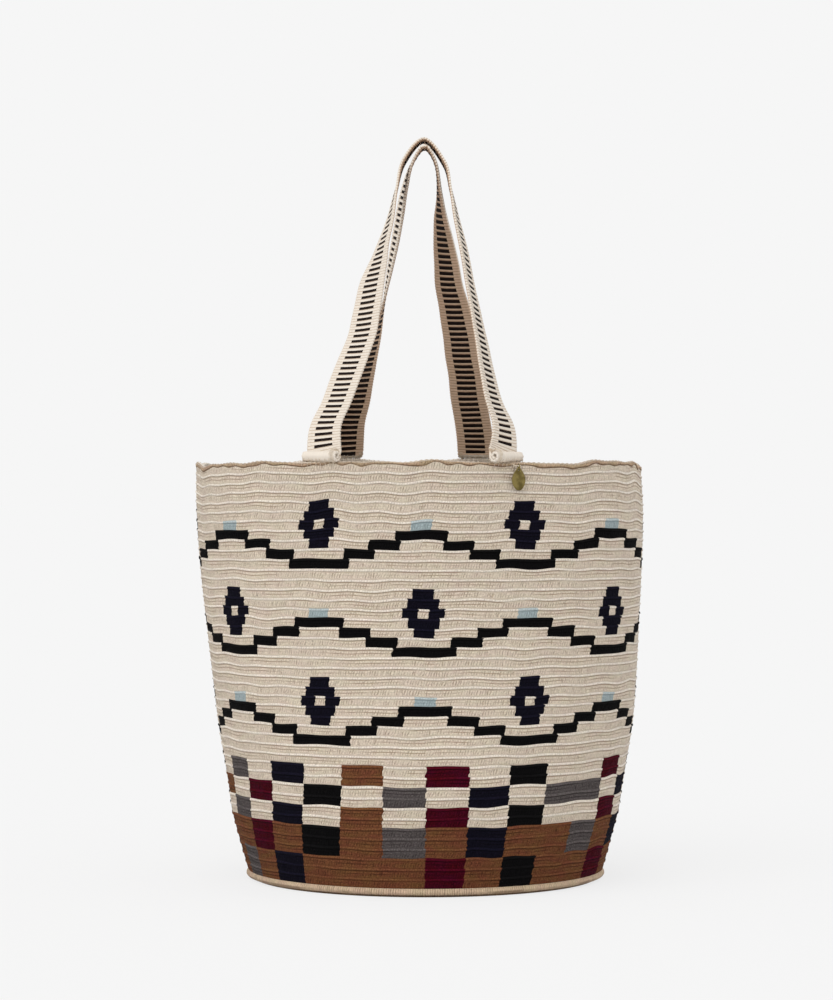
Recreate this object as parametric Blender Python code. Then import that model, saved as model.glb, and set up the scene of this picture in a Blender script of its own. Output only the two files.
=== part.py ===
"""A crocheted bucket tote with two woven shoulder straps and a small brass leaf charm.

The frame has +Z up and stands the bag on z = 0. The front of the bag faces -Y, and the mouth
is centred on x = 0 and y = 0. All sizes are in metres and all turns in degrees.
"""

import math
from dataclasses import dataclass

import bmesh
import bpy
from mathutils import Vector

# Bag body: a flat round base, a wall that widens upwards, and an oval mouth
RIM_HEIGHT = 0.370
MOUTH_WIDTH = 0.3988
MOUTH_DEPTH = 0.3022
WALL_THICKNESS = 0.004
FLOOR_THICKNESS = 0.004
FLOOR_CORNER = 0.010
LEAN = 0.0062

# Heights as shares of the rim's height, with the wall's width and depth there as shares of
# the mouth's
WALL_SECTIONS = (
    (0.0000, 0.7899, 1.0424),
    (0.0865, 0.8300, 1.0854),
    (0.1622, 0.8676, 1.1185),
    (0.2432, 0.8902, 1.1350),
    (0.3784, 0.9318, 1.1032),
    (0.5405, 0.9629, 1.0609),
    (0.7297, 0.9880, 1.0205),
    (0.8919, 1.0015, 0.9974),
    (1.0000, 1.0000, 1.0000),
)

# Rounds of crochet: each is one ridge, and a column is one check of the band at the foot
COLUMNS = 30
STITCHES_PER_COLUMN = 8
EDGING_HEIGHT = 0.0078
EDGING_BULGE = 0.0026
BAND_TOP = 0.113
BAND_ROW_ROUNDS = (3, 3, 2, 2, 2)
CREAM_ROUNDS = 31
RIDGE_HEIGHT = 0.0013
RIDGE_PLACE = 0.62
RIM_ROUNDING = 0.0012

# Places where the straps dent the wall below the rim: column, depth and half width in columns
STRAP_DENTS = (
    (-2.42, 0.0055, 0.85),
    (2.15, 0.0025, 0.80),
    (13.43, 0.0030, 1.00),
    (17.00, 0.0030, 1.00),
)
DENT_REACH = 0.150

# Places where the straps draw the rim up: column, rise and half width in columns
RIM_RISES = ((13.43, 0.0075, 1.5), (17.00, 0.0075, 1.5), (-0.9, 0.0012, 1.6), (5.0, 0.0012, 1.5))
RISE_REACH = 0.120

# Woven straps: a flat band whose two ends are rolled up and sewn on the rim. The rise is
# from the rim to the crown, and the spread is the unit of a station's place across
STRAP_RISE = 0.292
STRAP_SPREAD = 0.100
STRAP_WIDTH = 0.035
STRAP_THICKNESS = 0.0022
LADDER_WIDTH = 0.019
ROLL_RADIUS = 0.0047
ROLL_PITCH = 0.0025
ROLL_TURNS = 1.3
ROLL_STEPS = 11
CROWN_STEPS = 3
SEAT_GAP = 0.0003

# Leaf charm, its jump ring and the thread that holds the ring
CHARM_COLUMN = 2.36
CHARM_BELOW_RIM = 0.0026
THREAD_RADIUS = 0.00045
THREAD_REACH = 0.0046
THREAD_SPREAD = 0.0030
RING_RADIUS = 0.0024
RING_WIRE_RADIUS = 0.0004
RING_WIRE_SIDES = 6
RING_STEPS = 14
RUNNING_GAP = 0.0003
LEAF_LENGTH = 0.0205
LEAF_WIDTH = 0.0122
LEAF_THICKNESS = 0.0010
LEAF_HOLE_RADIUS = 0.0009
LEAF_TIP = 0.0026

# Geometric design above the band: three stepped zigzags with a lozenge in every bend
DESIGN_REPEAT = 40
ZIGZAG_ROUNDS = (2, 11, 20)
ZIGZAG_STEP = 5
LOZENGE_RISE = 4
LOZENGE_HALF_WIDTHS = (4, 3, 2)
TIP_HALF_WIDTH = 2

# Yarn colours as linear red, green and blue
YARNS = {
    "cream_yarn": (0.66, 0.55, 0.41),
    "brown_yarn": (0.17, 0.065, 0.028),
    "burgundy_yarn": (0.085, 0.004, 0.012),
    "navy_yarn": (0.011, 0.008, 0.030),
    "black_yarn": (0.006, 0.005, 0.006),
    "grey_yarn": (0.125, 0.115, 0.120),
    "blue_yarn": (0.36, 0.50, 0.55),
}
YARN_ORDER = tuple(YARNS)
CHECK_CYCLE = ("burgundy_yarn", "navy_yarn", "black_yarn", "brown_yarn", "grey_yarn")
CREAM_GROUND_ROWS = 3
SEAM_COLUMN = 4
ODD_CHECK = (2, 3)


@dataclass(frozen=True)
class Station:
    """One hand-placed point of a strap: shares of its rise and spread, and its width's turn."""

    rise: float
    across: float
    turn: float


@dataclass(frozen=True)
class StrapLayout:
    """Where a strap runs: its ends on the rim, its stations, and its side of the bag."""

    side: int
    end_columns: tuple
    end_turns: tuple
    crown_depth: float
    crown: Station
    rising: tuple
    falling: tuple


FRONT_STRAP = StrapLayout(
    side=-1,
    end_columns=(-2.42, 2.15),
    end_turns=(34.0, 131.0),
    crown_depth=0.006,
    crown=Station(1.0000, 0.050, 90.0),
    rising=(
        Station(0.1027, -0.805, 39.0),
        Station(0.1849, -0.709, 42.0),
        Station(0.2774, -0.609, 41.0),
        Station(0.3699, -0.511, 45.0),
        Station(0.4623, -0.452, 49.0),
        Station(0.5548, -0.407, 54.0),
        Station(0.6507, -0.332, 72.0),
        Station(0.7466, -0.256, 81.0),
        Station(0.8425, -0.202, 88.0),
        Station(0.9315, -0.132, 92.0),
    ),
    falling=(
        Station(0.9247, 0.234, 89.0),
        Station(0.8390, 0.294, 92.0),
        Station(0.7432, 0.345, 97.0),
        Station(0.6473, 0.405, 100.0),
        Station(0.5548, 0.448, 101.0),
        Station(0.4623, 0.499, 103.0),
        Station(0.3699, 0.547, 106.0),
        Station(0.2774, 0.594, 109.0),
        Station(0.1849, 0.652, 113.0),
        Station(0.1027, 0.735, 121.0),
    ),
)

BACK_STRAP = StrapLayout(
    side=1,
    end_columns=(17.00, 13.43),
    end_turns=(22.0, 166.0),
    crown_depth=-0.006,
    crown=Station(0.9743, 0.056, 90.0),
    rising=(
        Station(0.1301, -0.655, 32.0),
        Station(0.2123, -0.580, 46.0),
        Station(0.3048, -0.496, 62.0),
        Station(0.3973, -0.411, 76.0),
        Station(0.4897, -0.338, 88.0),
        Station(0.5822, -0.280, 95.0),
        Station(0.6712, -0.228, 99.0),
        Station(0.7603, -0.177, 100.0),
        Station(0.8493, -0.128, 98.0),
        Station(0.9281, -0.058, 93.0),
    ),
    falling=(
        Station(0.9247, 0.160, 89.0),
        Station(0.8322, 0.193, 95.0),
        Station(0.7534, 0.210, 108.0),
        Station(0.6678, 0.241, 121.0),
        Station(0.5822, 0.277, 131.0),
        Station(0.4897, 0.332, 142.0),
        Station(0.3973, 0.388, 150.0),
        Station(0.3048, 0.430, 155.0),
        Station(0.2123, 0.470, 160.0),
        Station(0.1301, 0.516, 164.0),
    ),
)


def clear_scene():
    """Remove every object, so that the model starts from an empty scene."""
    for thing in list(bpy.data.objects):
        bpy.data.objects.remove(thing, do_unlink=True)


def make_material(name, colour, roughness, metallic=0.0):
    """Return a Principled material of one colour."""
    material = bpy.data.materials.new(name)
    material.use_nodes = True
    material.diffuse_color = (*colour, 1.0)
    shader = material.node_tree.nodes["Principled BSDF"]
    shader.inputs["Base Color"].default_value = (*colour, 1.0)
    shader.inputs["Roughness"].default_value = roughness
    shader.inputs["Metallic"].default_value = metallic
    return material


def finish_object(name, mesh_data, materials, location=(0.0, 0.0, 0.0)):
    """Turn a bmesh into a named object with its materials and smooth shading."""
    mesh = bpy.data.meshes.new(name)
    bmesh.ops.recalc_face_normals(mesh_data, faces=mesh_data.faces)
    mesh_data.to_mesh(mesh)
    mesh_data.free()
    for material in materials:
        mesh.materials.append(material)
    mesh.shade_smooth()
    mesh.set_sharp_from_angle(angle=math.radians(50.0))
    thing = bpy.data.objects.new(name, mesh)
    thing.location = location
    bpy.context.collection.objects.link(thing)
    return thing


def bell(distance, half_width):
    """A smooth bump that is 1 at no distance and falls away past its half width."""
    return math.exp(-((distance / half_width) ** 2))


def ease(share):
    """A smooth step from 0 to 1 as the share goes from 0 to 1."""
    share = min(1.0, max(0.0, share))
    return share * share * (3.0 - 2.0 * share)


def columns_apart(column, other):
    """The shorter way round the bag between two columns."""
    return abs((column - other + COLUMNS / 2) % COLUMNS - COLUMNS / 2)


def catmull_rom(before, start, end, after, share):
    """A point on the smooth curve from start to end, given the points either side."""
    square, cube = share * share, share**3
    return (
        before * (-0.5 * cube + square - 0.5 * share)
        + start * (1.5 * cube - 2.5 * square + 1.0)
        + end * (-1.5 * cube + 2.0 * square + 0.5 * share)
        + after * (0.5 * cube - 0.5 * square)
    )


def wall_section(height):
    """The half width and half depth of the wall at a height."""
    share = height / RIM_HEIGHT
    last = len(WALL_SECTIONS) - 1
    index = 0
    while index < last - 1 and WALL_SECTIONS[index + 1][0] < share:
        index += 1
    rows = [Vector(WALL_SECTIONS[min(last, max(0, index + step))]) for step in (-1, 0, 1, 2)]
    between = (share - rows[1].x) / (rows[2].x - rows[1].x)
    point = catmull_rom(*rows, min(1.0, max(0.0, between)))
    return point.y * MOUTH_WIDTH / 2, point.z * MOUTH_DEPTH / 2


def wall_point(column, height, outward=0.0):
    """A point of the wall, counted in columns anticlockwise from the middle of the front."""
    half_width, half_depth = wall_section(height)
    angle = 2.0 * math.pi * column / COLUMNS
    oval = (half_width - half_depth) / (half_width + half_depth)
    angle -= 0.5 * oval * math.sin(2.0 * angle)
    normal = Vector((half_depth * math.sin(angle), -half_width * math.cos(angle), 0.0))
    normal.normalize()
    fade = ease(1.0 - (RIM_HEIGHT - height) / DENT_REACH)
    for place, depth, spread in STRAP_DENTS:
        outward -= fade * depth * bell(columns_apart(column, place), spread)
    point = Vector((half_width * math.sin(angle), -half_depth * math.cos(angle), height))
    point += normal * outward
    point.x += LEAN * (1.0 - (height / RIM_HEIGHT) ** 2)
    lift = ease(1.0 - (RIM_HEIGHT - height) / RISE_REACH)
    for place, rise, spread in RIM_RISES:
        point.z += lift * rise * bell(columns_apart(column, place), spread)
    return point


def wall_normal(column, height):
    """The level direction that points out of the wall."""
    reach = wall_point(column, height, 0.001) - wall_point(column, height)
    return reach.normalized()


def check_yarn(row, column):
    """The yarn of one check. Rows count down from 1, and columns go either way from the front."""
    if (row, column) == ODD_CHECK:
        return "grey_yarn"
    seam = 1 if column >= SEAM_COLUMN else 0
    if (row + column + seam) % 2:
        return CHECK_CYCLE[column % len(CHECK_CYCLE)]
    return "cream_yarn" if row <= CREAM_GROUND_ROWS else "brown_yarn"


def band_yarn(level, column):
    """The yarn of a round of the check band, where level counts its rounds up from the foot."""
    row = len(BAND_ROW_ROUNDS)
    for rounds in BAND_ROW_ROUNDS:
        if level < rounds:
            break
        level -= rounds
        row -= 1
    signed = (column + COLUMNS // 2) % COLUMNS - COLUMNS // 2
    return check_yarn(row, signed)


def design_yarn(level, stitch):
    """The yarn of a stitch of the cream wall, where level counts its rounds up from the band."""
    for index, base in enumerate(ZIGZAG_ROUNDS):
        shift = index % 2 * DESIGN_REPEAT / 2
        across = abs((stitch - shift) % DESIGN_REPEAT - DESIGN_REPEAT / 2)
        steps = (int(across // ZIGZAG_STEP), int(max(0.0, across - 1) // ZIGZAG_STEP))
        if level - base in steps:
            return "black_yarn"
        rise = abs(level - base - LOZENGE_RISE)
        if rise < len(LOZENGE_HALF_WIDTHS) and across <= LOZENGE_HALF_WIDTHS[rise]:
            return "cream_yarn" if rise == 0 and across <= 1 else "navy_yarn"
        if rise == 0 and across >= DESIGN_REPEAT / 2 - TIP_HALF_WIDTH:
            return "blue_yarn"
    return "cream_yarn"


def yarn_number(yarn):
    """The material number of a yarn on the bag body."""
    return YARN_ORDER.index(yarn)


def ring_at(body, height, outward, count):
    """Add one closed ring of vertices round the wall."""
    places = [COLUMNS * index / count for index in range(count)]
    return [body.verts.new(wall_point(place, height, outward)) for place in places]


def join_rings(body, lower, upper, yarn_of):
    """Close the strip between two rings, of which one may have twice the other's vertices."""
    count = min(len(lower), len(upper))
    below, above = len(lower) // count, len(upper) // count
    for index in range(count):
        corners = [lower[(index * below + step) % len(lower)] for step in range(below + 1)]
        top = [upper[(index * above + step) % len(upper)] for step in range(above + 1)]
        face = body.faces.new(corners + top[::-1])
        face.material_index = yarn_number(yarn_of(index, count))


def plain(yarn):
    """A rule that gives every face of a strip the same yarn."""
    return lambda _index, _count: yarn


def round_heights():
    """The heights where one round ends and the next starts, from the edging to the rim."""
    band_rounds = sum(BAND_ROW_ROUNDS)
    band_step = (BAND_TOP - EDGING_HEIGHT) / band_rounds
    cream_step = (RIM_HEIGHT - BAND_TOP) / CREAM_ROUNDS
    heights = [EDGING_HEIGHT + band_step * index for index in range(band_rounds)]
    return heights + [BAND_TOP + cream_step * index for index in range(CREAM_ROUNDS + 1)]


def build_foot(body):
    """The flat underside and the raised edging round it. Returns the ring the wall starts from."""
    base = ring_at(body, 0.0, -WALL_THICKNESS, COLUMNS)
    underside = body.faces.new(base[::-1])
    underside.material_index = yarn_number("cream_yarn")
    lower = base
    for height_share, bulge_share in ((0.12, 0.35), (0.48, 1.0), (0.86, 0.45)):
        height, bulge = EDGING_HEIGHT * height_share, EDGING_BULGE * bulge_share
        upper = ring_at(body, height, bulge, COLUMNS)
        join_rings(body, lower, upper, plain("cream_yarn"))
        lower = upper
    upper = ring_at(body, EDGING_HEIGHT, 0.0, COLUMNS)
    join_rings(body, lower, upper, plain("cream_yarn"))
    return upper


def build_rounds(body, lower):
    """The ridged rounds of the outside, in checks and then in the design. Returns the top ring."""
    heights = round_heights()
    band_rounds = sum(BAND_ROW_ROUNDS)
    for level, (foot, top) in enumerate(zip(heights, heights[1:])):
        in_band = level < band_rounds
        ridge = foot + (top - foot) * RIDGE_PLACE
        ridge_count = COLUMNS if in_band else 2 * COLUMNS
        top_count = COLUMNS if level + 1 < band_rounds else 2 * COLUMNS
        is_last = level == len(heights) - 2
        crest = ring_at(body, ridge, RIDGE_HEIGHT, ridge_count)
        edge_height = top - RIM_ROUNDING if is_last else top
        edge = ring_at(body, edge_height, 0.0, top_count)

        def yarn_of(index, count, level=level, in_band=in_band):
            if in_band:
                return band_yarn(level, index * COLUMNS // count)
            stitch = (index + 0.5) * COLUMNS * STITCHES_PER_COLUMN / count
            return design_yarn(level - band_rounds, stitch)

        join_rings(body, lower, crest, yarn_of)
        join_rings(body, crest, edge, yarn_of)
        lower = edge
    return lower


def build_inside(body, lower):
    """The rounded rim, the smooth inside of the wall and the floor."""
    fine, coarse = 2 * COLUMNS, COLUMNS
    steps = (
        (RIM_HEIGHT, -WALL_THICKNESS / 2, fine),
        (RIM_HEIGHT - RIM_ROUNDING, -WALL_THICKNESS, fine),
        (RIM_HEIGHT - DENT_REACH / 3, -WALL_THICKNESS, fine),
        (RIM_HEIGHT - DENT_REACH, -WALL_THICKNESS, coarse),
        (BAND_TOP, -WALL_THICKNESS, coarse),
        (FLOOR_THICKNESS + FLOOR_CORNER, -WALL_THICKNESS, coarse),
        (FLOOR_THICKNESS, -WALL_THICKNESS - FLOOR_CORNER, coarse),
    )
    for height, outward, count in steps:
        upper = ring_at(body, height, outward, count)
        join_rings(body, lower, upper, plain("cream_yarn"))
        lower = upper
    floor = body.faces.new(lower)
    floor.material_index = yarn_number("cream_yarn")


def build_bag_body():
    """The whole crocheted bag without its straps: one piece of yarn work, open at the top."""
    body = bmesh.new()
    foot = build_foot(body)
    top = build_rounds(body, foot)
    build_inside(body, top)
    materials = [make_material(name, YARNS[name], 0.9) for name in YARN_ORDER]
    return finish_object("bag_body", body, materials)


def width_direction(layout, turn):
    """The level direction across a strap's width at a turn."""
    angle = math.radians(turn)
    return Vector((math.cos(angle), layout.side * math.sin(angle), 0.0))


def roll_points(layout, column, turn, rises):
    """The centre line of a rolled end, from the middle of the roll to where the strap leaves it."""
    across = width_direction(layout, turn)
    outward = layout.side * Vector((0.0, 0.0, 1.0 if rises else -1.0)).cross(across)
    seat = wall_point(column, RIM_HEIGHT, -WALL_THICKNESS / 2)
    lowest = ROLL_RADIUS - ROLL_PITCH / 4 + STRAP_THICKNESS / 2
    centre = seat + Vector((0.0, 0.0, lowest + SEAT_GAP))
    points = []
    for step in range(ROLL_STEPS, -1, -1):
        wound = ROLL_TURNS * step / ROLL_STEPS
        angle = math.pi + 2.0 * math.pi * wound
        radius = ROLL_RADIUS - ROLL_PITCH * wound
        reach = outward * math.cos(angle) + Vector((0.0, 0.0, math.sin(angle)))
        points.append((centre + reach * radius, turn))
    return points


def run_points(layout, start, end):
    """The centre line between the two rolled ends, over the crown, each with its turn."""
    keys = [start]
    crown_height = RIM_HEIGHT + STRAP_RISE * layout.crown.rise
    for station in (*layout.rising, layout.crown, *layout.falling):
        rises = station in layout.rising or station == layout.crown
        foot = start[0] if rises else end[0]
        height = RIM_HEIGHT + STRAP_RISE * station.rise
        share = (height - foot.z) / (crown_height - foot.z)
        depth = foot.y + (layout.crown_depth - foot.y) * share
        keys.append((Vector((STRAP_SPREAD * station.across, depth, height)), station.turn))
    keys.append(end)
    crown = 1 + len(layout.rising)
    rows = [Vector((*place, turn)) for place, turn in keys]
    points = []
    for index in range(len(rows) - 1):
        before = rows[max(0, index - 1)]
        after = rows[min(len(rows) - 1, index + 2)]
        steps = CROWN_STEPS if index in (crown - 1, crown) else 1
        for step in range(steps):
            row = catmull_rom(before, rows[index], rows[index + 1], after, step / steps)
            points.append((row.xyz, row.w))
    return points[1:]


def strap_sections(layout, points):
    """The eight corners of the strap's cross-section at each point of its centre line."""
    sections = []
    for index, (place, turn) in enumerate(points):
        ahead = points[min(len(points) - 1, index + 1)][0]
        behind = points[max(0, index - 1)][0]
        along = (ahead - behind).normalized()
        across = width_direction(layout, turn)
        across = (across - along * across.dot(along)).normalized()
        outward = layout.side * along.cross(across)
        half, ladder = STRAP_WIDTH / 2, LADDER_WIDTH / 2
        front = [place + across * reach for reach in (-half, -ladder, ladder, half)]
        lift = outward * (STRAP_THICKNESS / 2)
        sections.append([spot + lift for spot in front] + [spot - lift for spot in front[::-1]])
    return sections


def build_strap(name, layout):
    """One woven strap with a plain roll at each end and the dark ladder along its middle."""
    left = roll_points(layout, layout.end_columns[0], layout.end_turns[0], True)
    right = roll_points(layout, layout.end_columns[1], layout.end_turns[1], False)
    run = run_points(layout, left[-1], right[-1])
    points = left + run + right[::-1]
    strap = bmesh.new()
    rings = [
        [strap.verts.new(corner) for corner in section]
        for section in strap_sections(layout, points)
    ]
    ladder_faces = (1, 5)
    first, last = len(left), len(left) + len(run) - 1
    for index, (ring, following) in enumerate(zip(rings, rings[1:])):
        for corner in range(len(ring)):
            beside = (corner + 1) % len(ring)
            face = strap.faces.new(
                (ring[corner], ring[beside], following[beside], following[corner])
            )
            on_run = first <= index < last
            face.material_index = 1 if on_run and corner in ladder_faces else 0
    strap.faces.new(rings[0][::-1])
    strap.faces.new(rings[-1])
    materials = (
        make_material(f"{name}_cream_cotton", (0.72, 0.62, 0.49), 0.85),
        make_material(f"{name}_ladder", (0.20, 0.165, 0.14), 0.85),
    )
    return finish_object(name, strap, materials)


def charm_frame():
    """The middle of the holding thread, with the directions along and out of the rim."""
    height = RIM_HEIGHT - CHARM_BELOW_RIM
    surface = wall_point(CHARM_COLUMN, height, RIDGE_HEIGHT)
    outward = wall_normal(CHARM_COLUMN, height)
    along = Vector((0.0, 0.0, 1.0)).cross(outward)
    return surface, along, outward


def build_charm_thread():
    """The loop of thread that stands off the rim and carries the ring."""
    surface, along, outward = charm_frame()
    curve = bpy.data.curves.new("charm_thread", "CURVE")
    curve.dimensions = "3D"
    curve.bevel_depth = THREAD_RADIUS
    curve.bevel_resolution = 1
    curve.use_fill_caps = True
    steps = 8
    line = curve.splines.new("POLY")
    line.points.add(steps)
    for index, point in enumerate(line.points):
        angle = math.pi * index / steps
        reach = SEAT_GAP + (THREAD_REACH - SEAT_GAP) * math.sin(angle)
        place = surface + along * (THREAD_SPREAD * math.cos(angle)) + outward * reach
        point.co = (*place, 1.0)
    curve.materials.append(make_material("charm_thread_cotton", (0.62, 0.50, 0.36), 0.9))
    thread = bpy.data.objects.new("charm_thread", curve)
    bpy.context.collection.objects.link(thread)
    return thread


def ring_drop():
    """How far the ring's centre hangs below the thread that carries it."""
    return RING_RADIUS - RING_WIRE_RADIUS - THREAD_RADIUS - RUNNING_GAP


def build_charm_ring(brass):
    """The jump ring, with its origin on the thread that it swings about."""
    surface, along, outward = charm_frame()
    ring = bmesh.new()
    centre = Vector((0.0, 0.0, -ring_drop()))
    wire = []
    for index in range(RING_WIRE_SIDES):
        angle = 2.0 * math.pi * index / RING_WIRE_SIDES
        reach = RING_RADIUS + RING_WIRE_RADIUS * math.cos(angle)
        offset = along * (RING_WIRE_RADIUS * math.sin(angle))
        wire.append(ring.verts.new(centre + outward * reach + offset))
    edges = [ring.edges.new((wire[index - 1], wire[index])) for index in range(len(wire))]
    bmesh.ops.spin(
        ring,
        geom=wire + edges,
        cent=centre,
        axis=along,
        angle=2.0 * math.pi,
        steps=RING_STEPS,
        use_merge=True,
    )
    return finish_object("charm_ring", ring, (brass,), surface + outward * THREAD_REACH)


def leaf_half_width(share):
    """Half the leaf's width at a share of its length, counted from its lower end."""
    return LEAF_WIDTH / 2 * math.sin(math.pi * share**0.85) ** 0.8


def build_charm_leaf(brass):
    """The flat leaf, pointed at both ends, with its origin in the hole it hangs by."""
    surface, along, outward = charm_frame()
    steps = 9
    hole_height = LEAF_TIP - LEAF_LENGTH
    outline = [(0.0, hole_height)]
    for index in range(1, steps):
        share = index / steps
        outline.append((leaf_half_width(share), hole_height + LEAF_LENGTH * share))
    outline.append((0.0, LEAF_TIP))
    outline += [(-width, height) for width, height in outline[-2:0:-1]]
    leaf = bmesh.new()
    back = outward * (-LEAF_THICKNESS / 2)
    corners = [
        leaf.verts.new(along * width + Vector((0.0, 0.0, height)) + back)
        for width, height in outline
    ]
    face = leaf.faces.new(corners)
    grown = bmesh.ops.extrude_face_region(leaf, geom=[face])
    moved = [item for item in grown["geom"] if isinstance(item, bmesh.types.BMVert)]
    bmesh.ops.translate(leaf, verts=moved, vec=outward * LEAF_THICKNESS)
    drop = Vector((0.0, 0.0, -ring_drop() - RING_RADIUS))
    location = surface + outward * THREAD_REACH + drop
    thing = finish_object("charm_leaf", leaf, (brass,), location)
    cut_leaf_hole(thing, location, outward)
    return thing


def cut_leaf_hole(leaf, location, outward):
    """Cut the hole for the ring through the leaf's upper end."""
    drill = bmesh.new()
    bmesh.ops.create_cone(
        drill,
        cap_ends=True,
        segments=10,
        radius1=LEAF_HOLE_RADIUS,
        radius2=LEAF_HOLE_RADIUS,
        depth=LEAF_THICKNESS * 4,
    )
    cutter = finish_object("leaf_hole_cutter", drill, (), location)
    cutter.rotation_euler = outward.to_track_quat("Z", "Y").to_euler()
    cutter.hide_render = True
    cutter.display_type = "WIRE"
    hole = leaf.modifiers.new("ring_hole", "BOOLEAN")
    hole.operation = "DIFFERENCE"
    hole.solver = "EXACT"
    hole.object = cutter


def main():
    """Build every piece of the bag."""
    clear_scene()
    build_bag_body()
    build_strap("front_strap", FRONT_STRAP)
    build_strap("back_strap", BACK_STRAP)
    build_charm_thread()
    brass = make_material("aged_brass", (0.19, 0.155, 0.045), 0.45, 1.0)
    build_charm_ring(brass)
    build_charm_leaf(brass)


main()
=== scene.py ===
"""Looks of a crocheted bucket tote with two woven shoulder straps and a small brass leaf charm.

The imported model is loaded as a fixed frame: +Z is up, the bag stands on z = 0 and its front
faces -Y. Sizes are in metres and turns in degrees. The crocheted body is dressed with meshes
of about four points to a stitch, the straps with a woven band at thread scale, and the charm
with a cut jump ring and a stamped leaf.
"""

import logging
import math
from dataclasses import dataclass
from dataclasses import field
from enum import Enum
from typing import Any

import bmesh
import bpy
import numpy as np
from mathutils import Matrix
from mathutils import Vector

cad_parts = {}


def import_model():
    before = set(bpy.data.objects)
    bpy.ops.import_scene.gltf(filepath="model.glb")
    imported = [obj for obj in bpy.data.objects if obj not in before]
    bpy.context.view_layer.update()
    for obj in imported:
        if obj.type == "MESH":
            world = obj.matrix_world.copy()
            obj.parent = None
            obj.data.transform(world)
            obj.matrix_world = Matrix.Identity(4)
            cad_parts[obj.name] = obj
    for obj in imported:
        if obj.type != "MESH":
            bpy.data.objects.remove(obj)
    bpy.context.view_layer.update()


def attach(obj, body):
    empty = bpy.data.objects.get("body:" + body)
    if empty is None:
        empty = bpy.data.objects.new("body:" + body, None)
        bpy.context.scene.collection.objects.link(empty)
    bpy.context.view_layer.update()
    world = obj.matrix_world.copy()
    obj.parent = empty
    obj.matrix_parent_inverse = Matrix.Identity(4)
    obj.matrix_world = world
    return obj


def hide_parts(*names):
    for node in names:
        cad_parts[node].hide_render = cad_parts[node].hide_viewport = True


LOG = logging.getLogger("crocheted_tote")

# Names of the UV maps: where a point lies in the stitches or threads, and where it is baked
PATTERN_MAP = "Stitches"
BAKE_MAP = "OFBake"

# The setting of a map range that eases in and out
SMOOTH = {"interpolation_type": "SMOOTHSTEP"}


def linear(colour: str) -> tuple[float, float, float, float]:
    """Turn an sRGB hex colour into linear red, green, blue and alpha.

    Args:
        colour: Six hex digits, with or without a leading hash.

    Returns:
        The linear colour with an alpha of 1.
    """
    digits = colour.lstrip("#")
    parts = [int(digits[index : index + 2], 16) / 255.0 for index in (0, 2, 4)]
    made = [part / 12.92 if part <= 0.04045 else ((part + 0.055) / 1.055) ** 2.4 for part in parts]
    return (made[0], made[1], made[2], 1.0)


def add_node(
    tree: bpy.types.NodeTree,
    kind: str,
    inputs: dict[Any, Any] | None = None,
    output: int | str = 0,
    **settings: Any,
) -> bpy.types.NodeSocket | None:
    """Add one shader node with its settings, its constants and its incoming links.

    Args:
        tree: The node tree that gets the node.
        kind: The node's type name without its leading ShaderNode.
        inputs: Socket names or numbers, each with a constant or with a socket to link from.
        output: The name or number of the output that is wanted.
        settings: Values for the node's own properties.

    Returns:
        That output, or None for a node that has no outputs.
    """
    node = tree.nodes.new(f"ShaderNode{kind}")
    for name, value in settings.items():
        setattr(node, name, value)
    for key, value in (inputs or {}).items():
        if isinstance(value, bpy.types.NodeSocket):
            tree.links.new(value, node.inputs[key])
        else:
            node.inputs[key].default_value = value
    return node.outputs[output] if node.outputs else None


def new_material(name: str) -> tuple[bpy.types.Material, bpy.types.NodeTree, bpy.types.Node]:
    """Start a node material.

    Args:
        name: The finish's plain name.

    Returns:
        The material, its node tree and its Principled shader.
    """
    material = bpy.data.materials.new(name)
    material.use_nodes = True
    tree = material.node_tree
    return material, tree, tree.nodes["Principled BSDF"]


def ease(share: np.ndarray) -> np.ndarray:
    """A smooth step from 0 to 1 as the share goes from 0 to 1."""
    share = np.clip(share, 0.0, 1.0)
    return share * share * (3.0 - 2.0 * share)


def catmull_rom(rows: list[np.ndarray], share: Any) -> np.ndarray:
    """A point on the smooth curve between the middle two of four rows.

    Args:
        rows: The row before, the two rows either side of the point, and the row after.
        share: How far the point is from the second row to the third, from 0 to 1.

    Returns:
        The point, with the shape of one row.
    """
    square, cube = share * share, share**3
    return (
        rows[0] * (-0.5 * cube + square - 0.5 * share)
        + rows[1] * (1.5 * cube - 2.5 * square + 1.0)
        + rows[2] * (-1.5 * cube + 2.0 * square + 0.5 * share)
        + rows[3] * (0.5 * cube - 0.5 * square)
    )


@dataclass
class Patch:
    """A grid of points with its place in the stitches and in the bake.

    Attributes:
        points: Rows by columns by three coordinates.
        stitches: Rows by columns by two; a closed patch has one more column here.
        closed: Whether the last column joins the first.
        finish: Rows by columns of material numbers, one for each face.
        strips: How many strips the patch is cut into for its bake.
        place: The part of the bake that it fills, as left, bottom, right and top.
    """

    points: np.ndarray
    stitches: np.ndarray
    closed: bool
    finish: np.ndarray
    strips: int = 1
    place: tuple[float, float, float, float] = (0.0, 0.0, 1.0, 1.0)


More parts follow.
